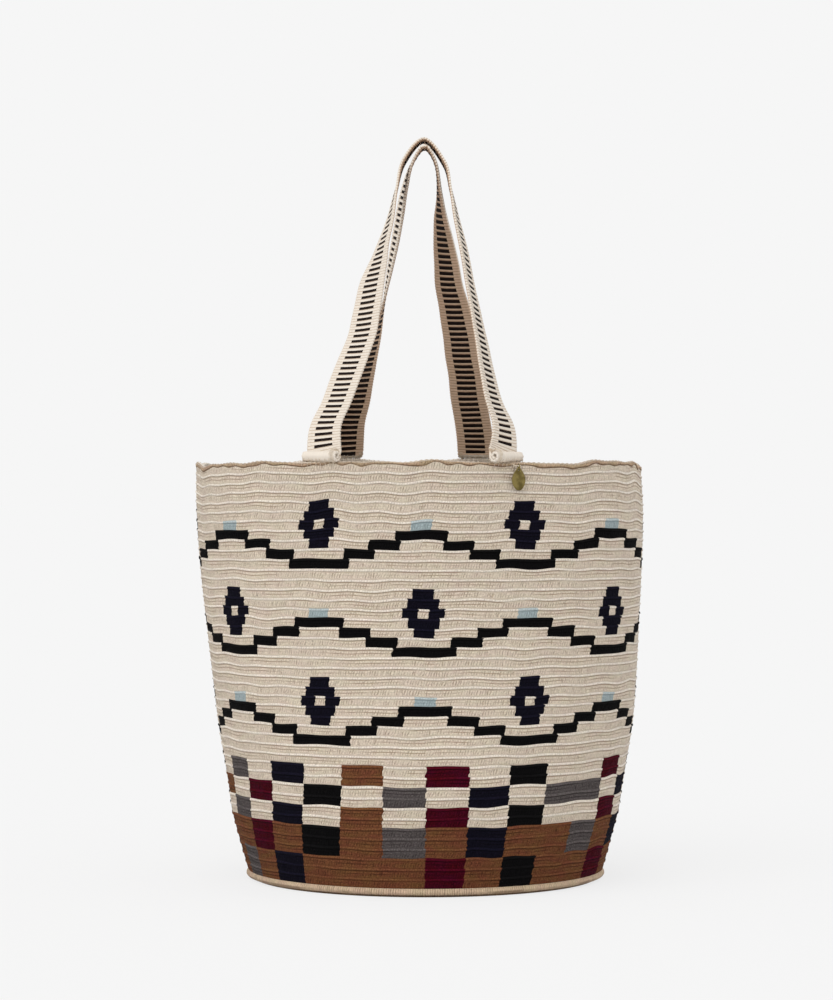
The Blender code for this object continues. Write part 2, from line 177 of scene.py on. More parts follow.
def patch_faces(patch: Patch, first: int) -> tuple[np.ndarray, np.ndarray, np.ndarray]:
    """List the faces of a patch with their two UV places.

    Args:
        patch: The grid to be turned into faces.
        first: The number of its first vertex in the mesh.

    Returns:
        Vertex numbers of each face, and the stitch and bake places of each of its corners.
    """
    rows, columns = patch.points.shape[:2]
    across = columns if patch.closed else columns - 1
    row, column = np.meshgrid(np.arange(rows - 1), np.arange(across), indexing="ij")
    row, column = row.ravel(), column.ravel()
    corners = ((0, 0), (0, 1), (1, 1), (1, 0))
    numbers = np.stack(
        [first + (row + up) * columns + (column + over) % columns for up, over in corners], 1
    )
    pattern = np.stack([patch.stitches[row + up, column + over] for up, over in corners], 1)
    per_strip = -(-across // patch.strips)
    strip = column // per_strip
    left, bottom, right, top = patch.place
    margin = 0.004
    height = (top - bottom) / patch.strips
    spots = []
    for up, over in corners:
        wide = (column + over - strip * per_strip) / per_strip
        high = (row + up) / (rows - 1)
        spots.append(
            np.stack(
                [
                    left + margin + wide * (right - left - 2 * margin),
                    bottom + strip * height + margin + high * (height - 2 * margin),
                ],
                1,
            )
        )
    return numbers, pattern, np.stack(spots, 1)


def patch_object(
    name: str, patches: list[Patch], materials: list[bpy.types.Material], caps: int = 0
) -> bpy.types.Object:
    """Make one object of one or more patches, with coincident points merged.

    Args:
        name: The piece's name.
        patches: The grids that the piece is made of.
        materials: The materials that the patches' face numbers stand for.
        caps: 1 to close the open borders with faces, otherwise 0.

    Returns:
        The new object, at the origin, with its place in its mesh.
    """
    points, numbers, pattern, spots, finish = [], [], [], [], []
    first = 0
    for patch in patches:
        found = patch_faces(patch, first)
        points.append(patch.points.reshape(-1, 3))
        numbers.append(found[0])
        pattern.append(found[1])
        spots.append(found[2])
        finish.append(patch.finish.ravel())
        first += len(points[-1])
    mesh = bpy.data.meshes.new(name)
    mesh.from_pydata(np.concatenate(points).tolist(), [], np.concatenate(numbers).tolist())
    mesh.polygons.foreach_set("material_index", np.concatenate(finish).astype(np.int32))
    for map_name, places in ((PATTERN_MAP, pattern), (BAKE_MAP, spots)):
        layer = mesh.uv_layers.new(name=map_name)
        layer.uv.foreach_set("vector", np.concatenate(places).astype(np.float32).ravel())
    for material in materials:
        mesh.materials.append(material)
    made = bmesh.new()
    made.from_mesh(mesh)
    bmesh.ops.remove_doubles(made, verts=made.verts, dist=1e-6)
    if caps:
        bmesh.ops.holes_fill(made, edges=[edge for edge in made.edges if edge.is_boundary])
    made.to_mesh(mesh)
    made.free()
    mesh.shade_smooth()
    piece = bpy.data.objects.new(name, mesh)
    bpy.context.collection.objects.link(piece)
    LOG.info("%s: %d faces", name, len(mesh.polygons))
    return piece


def tubes(paths: list[np.ndarray], radius: float, sides: int) -> list[Patch]:
    """Make a round tube along each path, rounded to nothing at both ends.

    Args:
        paths: Points of each tube's middle line.
        radius: Half the thread's thickness.
        sides: Points round the tube.

    Returns:
        One closed patch for each path.
    """
    made = []
    turn = 2.0 * np.pi * np.arange(sides) / sides
    for index, path in enumerate(paths):
        along = np.gradient(path, axis=0)
        along /= np.linalg.norm(along, axis=1)[:, None]
        guide = np.array((0.31, 0.52, 0.79))
        across = np.cross(along, guide)
        across /= np.linalg.norm(across, axis=1)[:, None]
        up = np.cross(along, across)
        size = np.full(len(path), radius)
        size[0] = size[-1] = radius * 0.02
        ring = across[:, None] * np.cos(turn)[None, :, None] + up[:, None] * np.sin(turn)[None, :, None]
        points = path[:, None] + ring * size[:, None, None]
        length = np.concatenate([[0.0], np.cumsum(np.linalg.norm(np.diff(path, axis=0), axis=1))])
        round_share = np.arange(sides + 1) / sides
        stitches = np.stack(np.meshgrid(round_share, length * 1000.0, indexing="xy"), -1)
        high = 1.0 / len(paths)
        place = (0.0, index * high, 1.0, (index + 1) * high)
        finish = np.zeros((len(path) - 1, sides), int)
        made.append(Patch(points, stitches, True, finish, 1, place))
    return made


class Yarn(Enum):
    """The yarns of the crocheted body, numbered as its material slots."""

    CREAM = 0
    BROWN = 1
    BURGUNDY = 2
    NAVY = 3
    BLACK = 4
    GREY = 5
    BLUE = 6
    # Not a yarn of its own: cream painted darker as shade, under the rim's top edge and along the foot's
    # underside
    RIM = 7
    FOOT = 8


@dataclass(frozen=True)
class CrochetYarn:
    """Doubled mercerised cotton, crocheted, with painted highlight on the loops and painted shade in the
    holes between legs.
    """

    name: str
    legs: str
    lit_loops: str
    hollow_shade: str
    mottle: float = 0.09
    grain: float = 0.20
    gloss: float = 0.22
    sheen: float = 0.10
    roughness: float = 0.85

    def material(self) -> bpy.types.Material:
        """Draw the loops, legs and pinholes of each stitch, at a stitch of 4.6 by 8.3 mm.

        Returns:
            The yarn's material, which reads the stitch map: one unit is a stitch or a round.
        """
        material, tree, shader = new_material(self.name)
        place = add_node(tree, "UVMap", uv_map=PATTERN_MAP)
        split = add_node(tree, "SeparateXYZ", {0: place}).node
        stitch, level = split.outputs[0], split.outputs[1]
        share = add_node(tree, "Math", {0: level}, operation="FRACT")

        # Unevenness of hand work, over about one stitch and over a dozen stitches
        uneven = add_node(tree, "TexNoise", {"Vector": place, "Scale": 0.9, "Detail": 2.0})
        stretched = add_node(tree, "Mapping", {0: place, 3: (0.09, 0.55, 1.0)})
        broad = add_node(tree, "TexNoise", {"Vector": stretched, "Scale": 1.0, "Detail": 3.0})

        # Two legs to a stitch: the distance from the gap between them, 0 in the gap
        drift = add_node(tree, "Math", {0: share, 1: -0.56, 2: uneven}, operation="MULTIPLY_ADD")
        legs = add_node(tree, "Math", {0: stitch, 1: 2.0, 2: drift}, operation="MULTIPLY_ADD")
        gap = add_node(tree, "Math", {0: legs, 1: 0.5}, operation="PINGPONG")
        strand = add_node(tree, "MapRange", {0: gap, 1: 0.0, 2: 0.30}, **SMOOTH)
        starts = add_node(tree, "MapRange", {0: share, 1: 0.03, 2: 0.16}, **SMOOTH)
        ends = add_node(tree, "MapRange", {0: share, 1: 0.52, 2: 0.68, 3: 1.0, 4: 0.0}, **SMOOTH)
        window = add_node(tree, "Math", {0: starts, 1: ends}, operation="MULTIPLY")
        open_gap = add_node(tree, "Math", {0: 1.0, 1: strand}, operation="SUBTRACT")
        depth = add_node(tree, "MapRange", {0: uneven, 1: 0.35, 2: 0.62, 3: 0.05, 4: 0.60})
        hole = add_node(tree, "Math", {0: open_gap, 1: window}, operation="MULTIPLY")
        hole = add_node(tree, "Math", {0: hole, 1: depth}, operation="MULTIPLY")

        # The loops on top of each round, with a thin line of painted shade between their two strands
        ridge = add_node(tree, "MapRange", {0: share, 1: 0.68, 2: 0.80}, **SMOOTH)
        twice = add_node(tree, "Math", {0: stitch, 1: 2.0, 2: uneven}, operation="MULTIPLY_ADD")
        lean = add_node(tree, "Math", {0: share, 1: -1.6, 2: twice}, operation="MULTIPLY_ADD")
        loop_gap = add_node(tree, "Math", {0: lean, 1: 0.5}, operation="PINGPONG")
        notch = add_node(tree, "MapRange", {0: loop_gap, 1: 0.0, 2: 0.22, 3: 1.0, 4: 0.0}, **SMOOTH)
        notch = add_node(tree, "Math", {0: notch, 1: ridge}, operation="MULTIPLY")
        # Painted shade: broken streaks below the loops and across the legs, where shade falls between the
        # strands
        streaks = []
        for place_up, reach, start, end in ((0.69, 0.10, 0.32, 0.54), (0.36, 0.075, 0.42, 0.60)):
            from_line = add_node(tree, "Math", {0: share, 1: place_up}, operation="SUBTRACT")
            from_line = add_node(tree, "Math", {0: from_line}, operation="ABSOLUTE")
            streak = add_node(
                tree, "MapRange", {0: from_line, 1: 0.01, 2: reach, 3: 1.0, 4: 0.0}, **SMOOTH
            )
            shown = add_node(tree, "MapRange", {0: broad, 1: start, 2: end, 3: 0.15, 4: 1.0}, **SMOOTH)
            streaks.append(add_node(tree, "Math", {0: streak, 1: shown}, operation="MULTIPLY"))
        line = add_node(tree, "Math", {0: streaks[0], 1: streaks[1]}, operation="MAXIMUM")

        # The groove between two rounds, painted darker as shade
        edge = add_node(tree, "Math", {0: level, 1: 0.5}, operation="PINGPONG")
        groove = add_node(tree, "MapRange", {0: edge, 1: 0.0, 2: 0.06, 3: 1.0, 4: 0.0}, **SMOOTH)

        # Colour: legs, then loops painted lighter as highlight, then painted shade over everything that
        # lies in a hollow
        lit = add_node(
            tree,
            "Mix",
            {0: ridge, 6: linear(self.legs), 7: linear(self.lit_loops)},
            output=2,
            data_type="RGBA",
        )
        deep = hole
        for mark, strength in ((groove, 0.42), (line, 0.74), (notch, 0.42)):
            faded = add_node(tree, "Math", {0: mark, 1: strength}, operation="MULTIPLY")
            deep = add_node(tree, "Math", {0: deep, 1: faded}, operation="MAXIMUM")
        colour = add_node(
            tree, "Mix", {0: deep, 6: lit, 7: linear(self.hollow_shade)}, output=2, data_type="RGBA"
        )
        bright = add_node(
            tree, "MapRange", {0: broad, 1: 0.25, 2: 0.75, 3: 1.0 - self.mottle, 4: 1.0 + self.mottle}
        )
        warm = add_node(tree, "TexNoise", {"Vector": stretched, "Scale": 2.6, "Detail": 1.0})
        hue = add_node(tree, "MapRange", {0: warm, 1: 0.3, 2: 0.7, 3: 0.489, 4: 0.510})
        spread = add_node(tree, "Mapping", {0: place, 3: (2.6, 8.5, 1.0)})
        grain = add_node(tree, "TexNoise", {"Vector": spread, "Scale": 1.0, "Detail": 2.0})
        grain = add_node(
            tree, "MapRange", {0: grain, 1: 0.28, 2: 0.68, 3: 1.0 - self.grain, 4: 1.0 + 0.5 * self.grain}
        )
        bright = add_node(tree, "Math", {0: bright, 1: grain}, operation="MULTIPLY")
        colour = add_node(tree, "HueSaturation", {"Hue": hue, "Value": bright, "Color": colour})
        tree.links.new(colour, shader.inputs["Base Color"])

        # Relief of the legs and loops, 0.6 mm, and of the plied fibre, 0.1 mm. Real fibres are
        # some 0.02 mm apart, too fine to show, so they are drawn coarser, 0.5 mm apart
        body = add_node(tree, "Math", {0: strand, 1: window}, operation="MULTIPLY")
        relief = add_node(tree, "Math", {0: ridge, 1: body}, operation="MAXIMUM")
        relief = add_node(tree, "Math", {0: deep, 1: -0.9, 2: relief}, operation="MULTIPLY_ADD")
        spot = add_node(tree, "TexCoord", output="Object")
        fibre = add_node(tree, "TexNoise", {"Vector": spot, "Scale": 1900.0, "Detail": 2.0})
        fine = add_node(tree, "Bump", {"Strength": 0.35, "Distance": 0.00012, "Height": fibre})
        bump = add_node(
            tree, "Bump", {"Strength": 0.8, "Distance": 0.0006, "Height": relief, "Normal": fine}
        )
        tree.links.new(bump, shader.inputs["Normal"])
        shader.inputs["Roughness"].default_value = self.roughness
        shader.inputs["Specular IOR Level"].default_value = self.gloss
        shader.inputs["Sheen Weight"].default_value = self.sheen
        shader.inputs["Sheen Roughness"].default_value = 0.5
        return material


YARNS: dict[Yarn, CrochetYarn] = {
    Yarn.CREAM: CrochetYarn("cream_cotton_yarn", "#E2D3BF", "#EFE5D7", "#8C6E52"),
    Yarn.BROWN: CrochetYarn(
        "tan_brown_cotton_yarn", "#784C31", "#7C4F34", "#2B1409", 0.14, 0.42, 0.08, 0.0
    ),
    Yarn.BURGUNDY: CrochetYarn(
        "burgundy_cotton_yarn", "#480719", "#520A1E", "#150104", 0.14, 0.42, 0.05, 0.0
    ),
    Yarn.NAVY: CrochetYarn(
        "navy_cotton_yarn", "#12101C", "#181625", "#050408", 0.14, 0.42, 0.05, 0.0
    ),
    Yarn.BLACK: CrochetYarn(
        "black_cotton_yarn", "#0D0C0D", "#131213", "#030303", 0.14, 0.42, 0.05, 0.0
    ),
    Yarn.GREY: CrochetYarn(
        "grey_cotton_yarn", "#5D5655", "#67605F", "#201B1A", 0.16, 0.45, 0.08, 0.0
    ),
    Yarn.BLUE: CrochetYarn("light_blue_cotton_yarn", "#A6B4B6", "#C0CBCC", "#77868A"),
    Yarn.RIM: CrochetYarn("rim_and_foot_painted_shade_yarn", "#A08364", "#BCA184", "#5E4632", 0.25, 0.40),
    Yarn.FOOT: CrochetYarn("cream_foot_cord_yarn", "#D6BC9E", "#E0C9AE", "#7E634B"),
}


@dataclass(frozen=True)
class WovenCotton:
    """Warp-faced cotton band: silky beads of warp, painted darker between them, and fine lines of painted
    shade where the weft crosses.
    """

    name: str
    thread: str
    line: str
    gloss: float = 0.22
    warp: float = 1.1

    def material(self) -> bpy.types.Material:
        """Draw warp threads 1.1 mm apart, with painted shade between them and a thin line of painted
        shade at each cross rib.

        Returns:
            The band's material, which reads its map: millimetres across and ribs along.
        """
        material, tree, shader = new_material(self.name)
        place = add_node(tree, "UVMap", uv_map=PATTERN_MAP)
        split = add_node(tree, "SeparateXYZ", {0: place}).node
        uneven = add_node(tree, "TexNoise", {"Vector": place, "Scale": 0.45, "Detail": 2.0})
        warps = add_node(tree, "Math", {0: split.outputs[0], 1: 1.0 / self.warp}, operation="MULTIPLY")
        beside = add_node(tree, "Math", {0: warps, 1: 0.5}, operation="PINGPONG")
        thread = add_node(tree, "MapRange", {0: beside, 1: 0.0, 2: 0.24}, **SMOOTH)
        drift = add_node(
            tree, "Math", {0: uneven, 1: 0.25, 2: split.outputs[1]}, operation="MULTIPLY_ADD"
        )
        rib = add_node(tree, "Math", {0: drift, 1: 0.5}, operation="PINGPONG")
        rib = add_node(tree, "MapRange", {0: rib, 1: 0.0, 2: 0.20}, **SMOOTH)
        # Painted shade: darker in the gaps between warp threads and along each cross rib
        bead = add_node(tree, "MapRange", {0: thread, 1: 0.0, 2: 1.0, 3: 0.70, 4: 1.0})
        shown = add_node(tree, "Math", {0: rib, 1: bead}, operation="MULTIPLY")
        colour = add_node(
            tree,
            "Mix",
            {0: shown, 6: linear(self.line), 7: linear(self.thread)},
            output=2,
            data_type="RGBA",
        )
        bright = add_node(tree, "MapRange", {0: uneven, 1: 0.3, 2: 0.7, 3: 0.96, 4: 1.04})
        colour = add_node(tree, "HueSaturation", {"Value": bright, "Color": colour})
        tree.links.new(colour, shader.inputs["Base Color"])
        bump = add_node(tree, "Bump", {"Strength": 0.6, "Distance": 0.0003, "Height": shown})
        tree.links.new(bump, shader.inputs["Normal"])
        shader.inputs["Roughness"].default_value = 0.84
        shader.inputs["Specular IOR Level"].default_value = self.gloss
        return material


@dataclass(frozen=True)
class TwistedThread:
    """Two-ply cotton sewing thread: a slanting twist of about 1.2 mm along the thread."""

    name: str
    fibre: str
    hollow_shade: str
    twist: float = 1.2

    def material(self) -> bpy.types.Material:
        """Draw the slanting plies from the map, with painted shade between them: once round the thread by
        millimetres along it.

        Returns:
            The thread's material.
        """
        material, tree, shader = new_material(self.name)
        place = add_node(tree, "UVMap", uv_map=PATTERN_MAP)
        split = add_node(tree, "SeparateXYZ", {0: place}).node
        turns = add_node(
            tree,
            "Math",
            {0: split.outputs[1], 1: 1.0 / self.twist, 2: split.outputs[0]},
            operation="MULTIPLY_ADD",
        )
        ply = add_node(tree, "Math", {0: turns, 1: 0.5}, operation="PINGPONG")
        ply = add_node(tree, "MapRange", {0: ply, 1: 0.0, 2: 0.3}, **SMOOTH)
        colour = add_node(
            tree,
            "Mix",
            {0: ply, 6: linear(self.hollow_shade), 7: linear(self.fibre)},
            output=2,
            data_type="RGBA",
        )
        tree.links.new(colour, shader.inputs["Base Color"])
        bump = add_node(tree, "Bump", {"Strength": 0.7, "Distance": 0.00015, "Height": ply})
        tree.links.new(bump, shader.inputs["Normal"])
        shader.inputs["Roughness"].default_value = 0.78
        return material


@dataclass(frozen=True)
class AgedBrass:
    """Stamped brass with a brown-green film: brushed lengthwise, darker where it is worn less."""

    name: str = "aged_brushed_brass"
    bright: str = "#8B7C4C"
    film: str = "#6C5F38"

    def material(self) -> bpy.types.Material:
        """Draw the film in patches of some 5 mm, and the brush marks.

        Returns:
            The brass material.
        """
        material, tree, shader = new_material(self.name)
        spot = add_node(tree, "TexCoord", output="Object")
        patches = add_node(tree, "TexNoise", {"Vector": spot, "Scale": 190.0, "Detail": 2.0})
        worn = add_node(tree, "MapRange", {0: patches, 1: 0.38, 2: 0.64}, **SMOOTH)
        colour = add_node(
            tree,
            "Mix",
            {0: worn, 6: linear(self.film), 7: linear(self.bright)},
            output=2,
            data_type="RGBA",
        )
        tree.links.new(colour, shader.inputs["Base Color"])
        rough = add_node(tree, "MapRange", {0: worn, 1: 0.0, 2: 1.0, 3: 0.55, 4: 0.42})
        tree.links.new(rough, shader.inputs["Roughness"])
        # Real brush marks are some 0.03 mm apart, too fine to show, so they are drawn at 0.15 mm
        drawn = add_node(tree, "Mapping", {0: spot, 3: (6500.0, 6500.0, 420.0)})
        marks = add_node(tree, "TexNoise", {"Vector": drawn, "Scale": 1.0, "Detail": 1.0})
        bump = add_node(tree, "Bump", {"Strength": 0.25, "Distance": 0.00005, "Height": marks})
        tree.links.new(bump, shader.inputs["Normal"])
        shader.inputs["Metallic"].default_value = 1.0
        return material


@dataclass(frozen=True)
class BagWall:
    """The shape of the wall: how wide it is at each height and where the straps draw it.

    Its sections are shares of the rim's height, the mouth's width and the mouth's depth.
    """

    rim_height: float = 0.370
    mouth_width: float = 0.3988
    mouth_depth: float = 0.3022
    thickness: float = 0.004
    floor_thickness: float = 0.004
    floor_corner: float = 0.010
    lean: float = 0.0062
    columns: int = 30
    stitches_per_column: int = 8
    sections: tuple = (
        (0.0000, 0.7899, 1.0424),
        (0.0865, 0.8300, 1.0854),
        (0.1622, 0.8676, 1.1185),
        (0.2432, 0.8902, 1.1350),
        (0.3784, 0.9318, 1.1032),
        (0.5405, 0.9629, 1.0609),
        (0.7297, 0.9880, 1.0205),
        (0.8919, 1.0015, 0.9974),
        (1.0000, 1.0000, 1.0000),
    )
    dents: tuple = (
        (-2.42, 0.0055, 0.85),
        (2.15, 0.0025, 0.80),
        (13.43, 0.0030, 1.00),
        (17.00, 0.0030, 1.00),
    )
    dent_reach: float = 0.150
    rises: tuple = (
        (13.43, 0.0075, 1.5),
        (17.00, 0.0075, 1.5),
        (-0.9, 0.0012, 1.6),
        (5.0, 0.0012, 1.5),
    )
    rise_reach: float = 0.120
    rim_wave: float = 0.0015

    def half_sizes(self, height: np.ndarray) -> tuple[np.ndarray, np.ndarray]:
        """Find the half width and half depth of the wall at each height.

        Args:
            height: Heights above the floor.

        Returns:
            The half widths along X and the half depths along Y.
        """
        table = np.array(self.sections)
        table = table * (self.rim_height, self.mouth_width / 2, self.mouth_depth / 2)
        last = len(table) - 1
        index = np.minimum(np.searchsorted(table[1:, 0], height, side="left"), last - 1)
        rows = [table[np.clip(index + step, 0, last)] for step in (-1, 0, 1, 2)]
        share = (height - rows[1][..., 0]) / (rows[2][..., 0] - rows[1][..., 0])
        point = catmull_rom(rows, np.clip(share, 0.0, 1.0)[..., None])
        return point[..., 1], point[..., 2]

    def bells(self, column: np.ndarray, spots: tuple) -> np.ndarray:
        """Add up smooth bumps round the wall.

        Args:
            column: Places round the wall, counted in columns from the front.
            spots: The column, the height and the half width in columns of each bump.

        Returns:
            The height of the bumps at each place.
        """
        total = np.zeros_like(column)
        for place, height, spread in spots:
            half = self.columns / 2
            apart = np.abs((column - place + half) % self.columns - half)
            total += height * np.exp(-((apart / spread) ** 2))
        return total

    def points(self, column: Any, height: Any, outward: Any = 0.0) -> np.ndarray:
        """Place points on the wall.

        Args:
            column: Places round the wall, anticlockwise from the middle of the front.
            height: Heights above the floor.
            outward: How far out of the wall the points stand.

        Returns:
            The points, with three coordinates in their last axis.
        """
        column, height, outward = np.broadcast_arrays(
            np.asarray(column, float), np.asarray(height, float), np.asarray(outward, float)
        )
        wide, deep = self.half_sizes(height)
        angle = 2.0 * np.pi * column / self.columns
        angle = angle - 0.5 * (wide - deep) / (wide + deep) * np.sin(2.0 * angle)
        normal_x, normal_y = deep * np.sin(angle), -wide * np.cos(angle)
        length = np.hypot(normal_x, normal_y)
        fade = ease(1.0 - (self.rim_height - height) / self.dent_reach)
        reach = outward - fade * self.bells(column, self.dents)
        lift = ease(1.0 - (self.rim_height - height) / self.rise_reach)
        # The rim waves a little, apart from where the straps' rolled ends sit on it
        seats = self.bells(column, tuple((place, 1.0, 1.5) for place, _, _ in self.dents))
        waves = np.sin(7.0 * angle + 0.5) + 0.6 * np.sin(16.0 * angle) + 0.4 * np.sin(31.0 * angle)
        waves = self.rim_wave * np.clip(1.0 - seats, 0.0, 1.0) * waves
        return np.stack(
            [
                wide * np.sin(angle)
                + normal_x / length * reach
                + self.lean * (1.0 - (height / self.rim_height) ** 2),
                -deep * np.cos(angle) + normal_y / length * reach,
                height + lift * (self.bells(column, self.rises) + waves),
            ],
            -1,
        )

    def outward(self, column: float, height: float) -> np.ndarray:
        """The level direction that points out of the wall at one place."""
        reach = self.points(column, height, 0.001) - self.points(column, height)
        return reach / np.linalg.norm(reach)


@dataclass(frozen=True)
class RoundRing:
    """One ring of points in a round of crochet, in shares of a round and in metres.

    Attributes:
        share: How far up the round the ring lies.
        rise: How far it stands out of the wall.
        strand: How much each leg or loop stands out past the gap beside it.
        lean: How far the stitch leans round the wall there, in stitches.
    """

    share: float
    rise: float
    strand: float
    lean: float


@dataclass
class CrochetedBody:
    """The crocheted bag without its straps: foot, check band, cream wall, rim, inside and base."""

    wall: BagWall = field(default_factory=BagWall)
    edging_height: float = 0.0078
    edging_bulge: float = 0.0026
    band_top: float = 0.113
    band_row_rounds: tuple = (3, 3, 2, 2, 2)
    cream_rounds: int = 31
    rim_rounding: float = 0.0012
    rim_lap: float = 0.0024
    base_rounds: int = 19
    base_ridge: float = 0.0013
    base_stitches: float = 11.3
    foot_points: int = 960
    foot_stitches: float = 240.0
    rope_depth: float = 0.00030
    slack_size: float = 0.00062
    swell_size: float = 0.0006
    design_repeat: int = 40
    zigzag_rounds: tuple = (2, 11, 20)
    zigzag_step: int = 5
    lozenge_rise: int = 4
    lozenge_half_widths: tuple = (4, 3, 2)
    tip_half_width: int = 2
    check_cycle: tuple = (Yarn.BURGUNDY, Yarn.NAVY, Yarn.BLACK, Yarn.BROWN, Yarn.GREY)
    cream_ground_rows: int = 3
    seam_column: int = 4
    odd_check: tuple = (2, 3)
    quarter: int = 4
    warps: tuple = ((-3.7, -0.42, 2.3), (4.2, -0.20, 2.6))
    warp_height: float = 0.110
    pinches: tuple = ((-2.20, 0.0020, 0.45), (2.05, 0.0015, 0.40), (0.4, -0.0008, 1.0))
    rings: tuple = (
        RoundRing(0.00, 0.00000, 0.00000, 0.00),
        RoundRing(0.18, 0.00028, 0.00008, 0.05),
        RoundRing(0.42, 0.00034, 0.00010, 0.12),
        RoundRing(0.66, 0.00016, 0.00006, 0.19),
        RoundRing(0.80, 0.00095, 0.00016, 0.24),
        RoundRing(0.93, 0.00074, 0.00014, 0.27),
    )
    seed: int = 11

    def round_edges(self) -> np.ndarray:
        """The heights where one round ends and the next starts, from the edging to the rim."""
        band = sum(self.band_row_rounds)
        low = np.linspace(self.edging_height, self.band_top, band + 1)
        high = np.linspace(self.band_top, self.wall.rim_height, self.cream_rounds + 1)
        return np.concatenate([low[:-1], high])

    def check_yarn(self, row: int, column: int) -> Yarn:
        """The yarn of one check of the band.

        Args:
            row: The row of checks, counted down from 1.
            column: The column of checks, either way from the front.

        Returns:
            The check's yarn.
        """
        if (row, column) == self.odd_check:
            return Yarn.GREY
        seam = 1 if column >= self.seam_column else 0
        if (row + column + seam) % 2:
            return self.check_cycle[column % len(self.check_cycle)]
        return Yarn.CREAM if row <= self.cream_ground_rows else Yarn.BROWN

    def design_yarn(self, level: int, stitch: float) -> Yarn:
        """The yarn of a stitch of the cream wall.

        Args:
            level: The round, counted up from the band.
            stitch: The middle of the stitch, counted from the front.

        Returns:
            The stitch's yarn.
        """
        for index, base in enumerate(self.zigzag_rounds):
            shift = index % 2 * self.design_repeat / 2
            across = abs((stitch - shift) % self.design_repeat - self.design_repeat / 2)
            steps = (int(across // self.zigzag_step), int(max(0.0, across - 1) // self.zigzag_step))
            if level - base in steps:
                return Yarn.BLACK
            rise = abs(level - base - self.lozenge_rise)
            if rise < len(self.lozenge_half_widths) and across <= self.lozenge_half_widths[rise]:
                return Yarn.CREAM if rise == 0 and across <= 1 else Yarn.NAVY
            if rise == 0 and across >= self.design_repeat / 2 - self.tip_half_width:
                return Yarn.BLUE
        return Yarn.CREAM

    def yarn_table(self) -> np.ndarray:
        """The yarn number of each stitch: rounds up from the foot by stitches from the front."""
        wall = self.wall
        count = wall.columns * wall.stitches_per_column
        table = []
        row = len(self.band_row_rounds)
        for rounds in self.band_row_rounds:
            line = []
            for stitch in range(count):
                column = stitch // wall.stitches_per_column
                signed = (column + wall.columns // 2) % wall.columns - wall.columns // 2
                line.append(self.check_yarn(row, signed).value)
            table += [line] * rounds
            row -= 1
        for level in range(self.cream_rounds):
            table.append([self.design_yarn(level, stitch + 0.5).value for stitch in range(count)])
        return np.array(table)

    def wobble(self, rows: int, waves: int, seed: int, count: int) -> np.ndarray:
        """Make soft seeded unevenness round the wall, one line for each row.

        Args:
            rows: How many lines are wanted.
            waves: The most waves that one line has round the wall.
            seed: The seed of the lines.
            count: Points round the wall.

        Returns:
            Rows by points, of about -1 to 1.
        """
        source = np.random.default_rng(seed)
        place = 2.0 * np.pi * np.arange(count) / count
        number = np.arange(1, waves + 1)
        size = source.normal(size=(rows, waves)) / np.sqrt(waves)
        phase = source.uniform(0.0, 2.0 * np.pi, (rows, waves))
        angles = number[None, :, None] * place[None, None, :] + phase[:, :, None]
        return (size[:, :, None] * np.cos(angles)).sum(1)

    def warped(self, column: np.ndarray, height: float) -> np.ndarray:
        """Draw the columns round to the sides low in the band, where the work was stretched.

        Args:
            column: Places round the wall.
            height: The height of the round.

        Returns:
            The places where the columns really come to lie.
        """
        low = float(ease(1.0 - height / self.warp_height))
        return column + low * self.wall.bells(column, self.warps)

    def slack(self, count: int) -> np.ndarray:
        """How far each groove strays from level, also where the straps draw the rounds up.

        Args:
            count: Points round the wall.

        Returns:
            Grooves by points, in metres, with the first and the last level.
        """
        lines = self.wobble(len(self.round_edges()), 30, self.seed, count)
        for level in range(1, len(lines)):
            lines[level] = 0.62 * lines[level - 1] + 0.78 * lines[level]
        reach = np.linspace(0.0, 1.0, len(lines))
        fade = np.clip(np.minimum(reach / 0.06, (1.0 - reach) / 0.04), 0.0, 1.0)
        column = np.arange(count) / count * self.wall.columns
        drawn = self.wall.bells(column, self.pinches)
        high = np.sin(np.pi * np.clip((reach - 0.72) / 0.28, 0.0, 1.0))
        return lines * self.slack_size * fade[:, None] + high[:, None] * drawn[None, :]

    def swell(self, column: np.ndarray, height: np.ndarray) -> np.ndarray:
        """How far the soft wall swells or sinks between its stiffer places.

        Args:
            column: Places round the wall.
            height: Heights above the floor.

        Returns:
            Metres outwards, up to about 1.2 mm.
        """
        angle = 2.0 * np.pi * column / self.wall.columns
        fade = ease(height / 0.10) * ease((self.wall.rim_height - height) / 0.05 + 0.25)
        waves = (
            np.sin(3.0 * angle + 14.0 * height + 0.7)
            + 0.8 * np.sin(5.0 * angle - 21.0 * height + 2.1)
            + 0.6 * np.sin(8.0 * angle + 33.0 * height + 4.0)
        )
        return self.swell_size * fade * waves

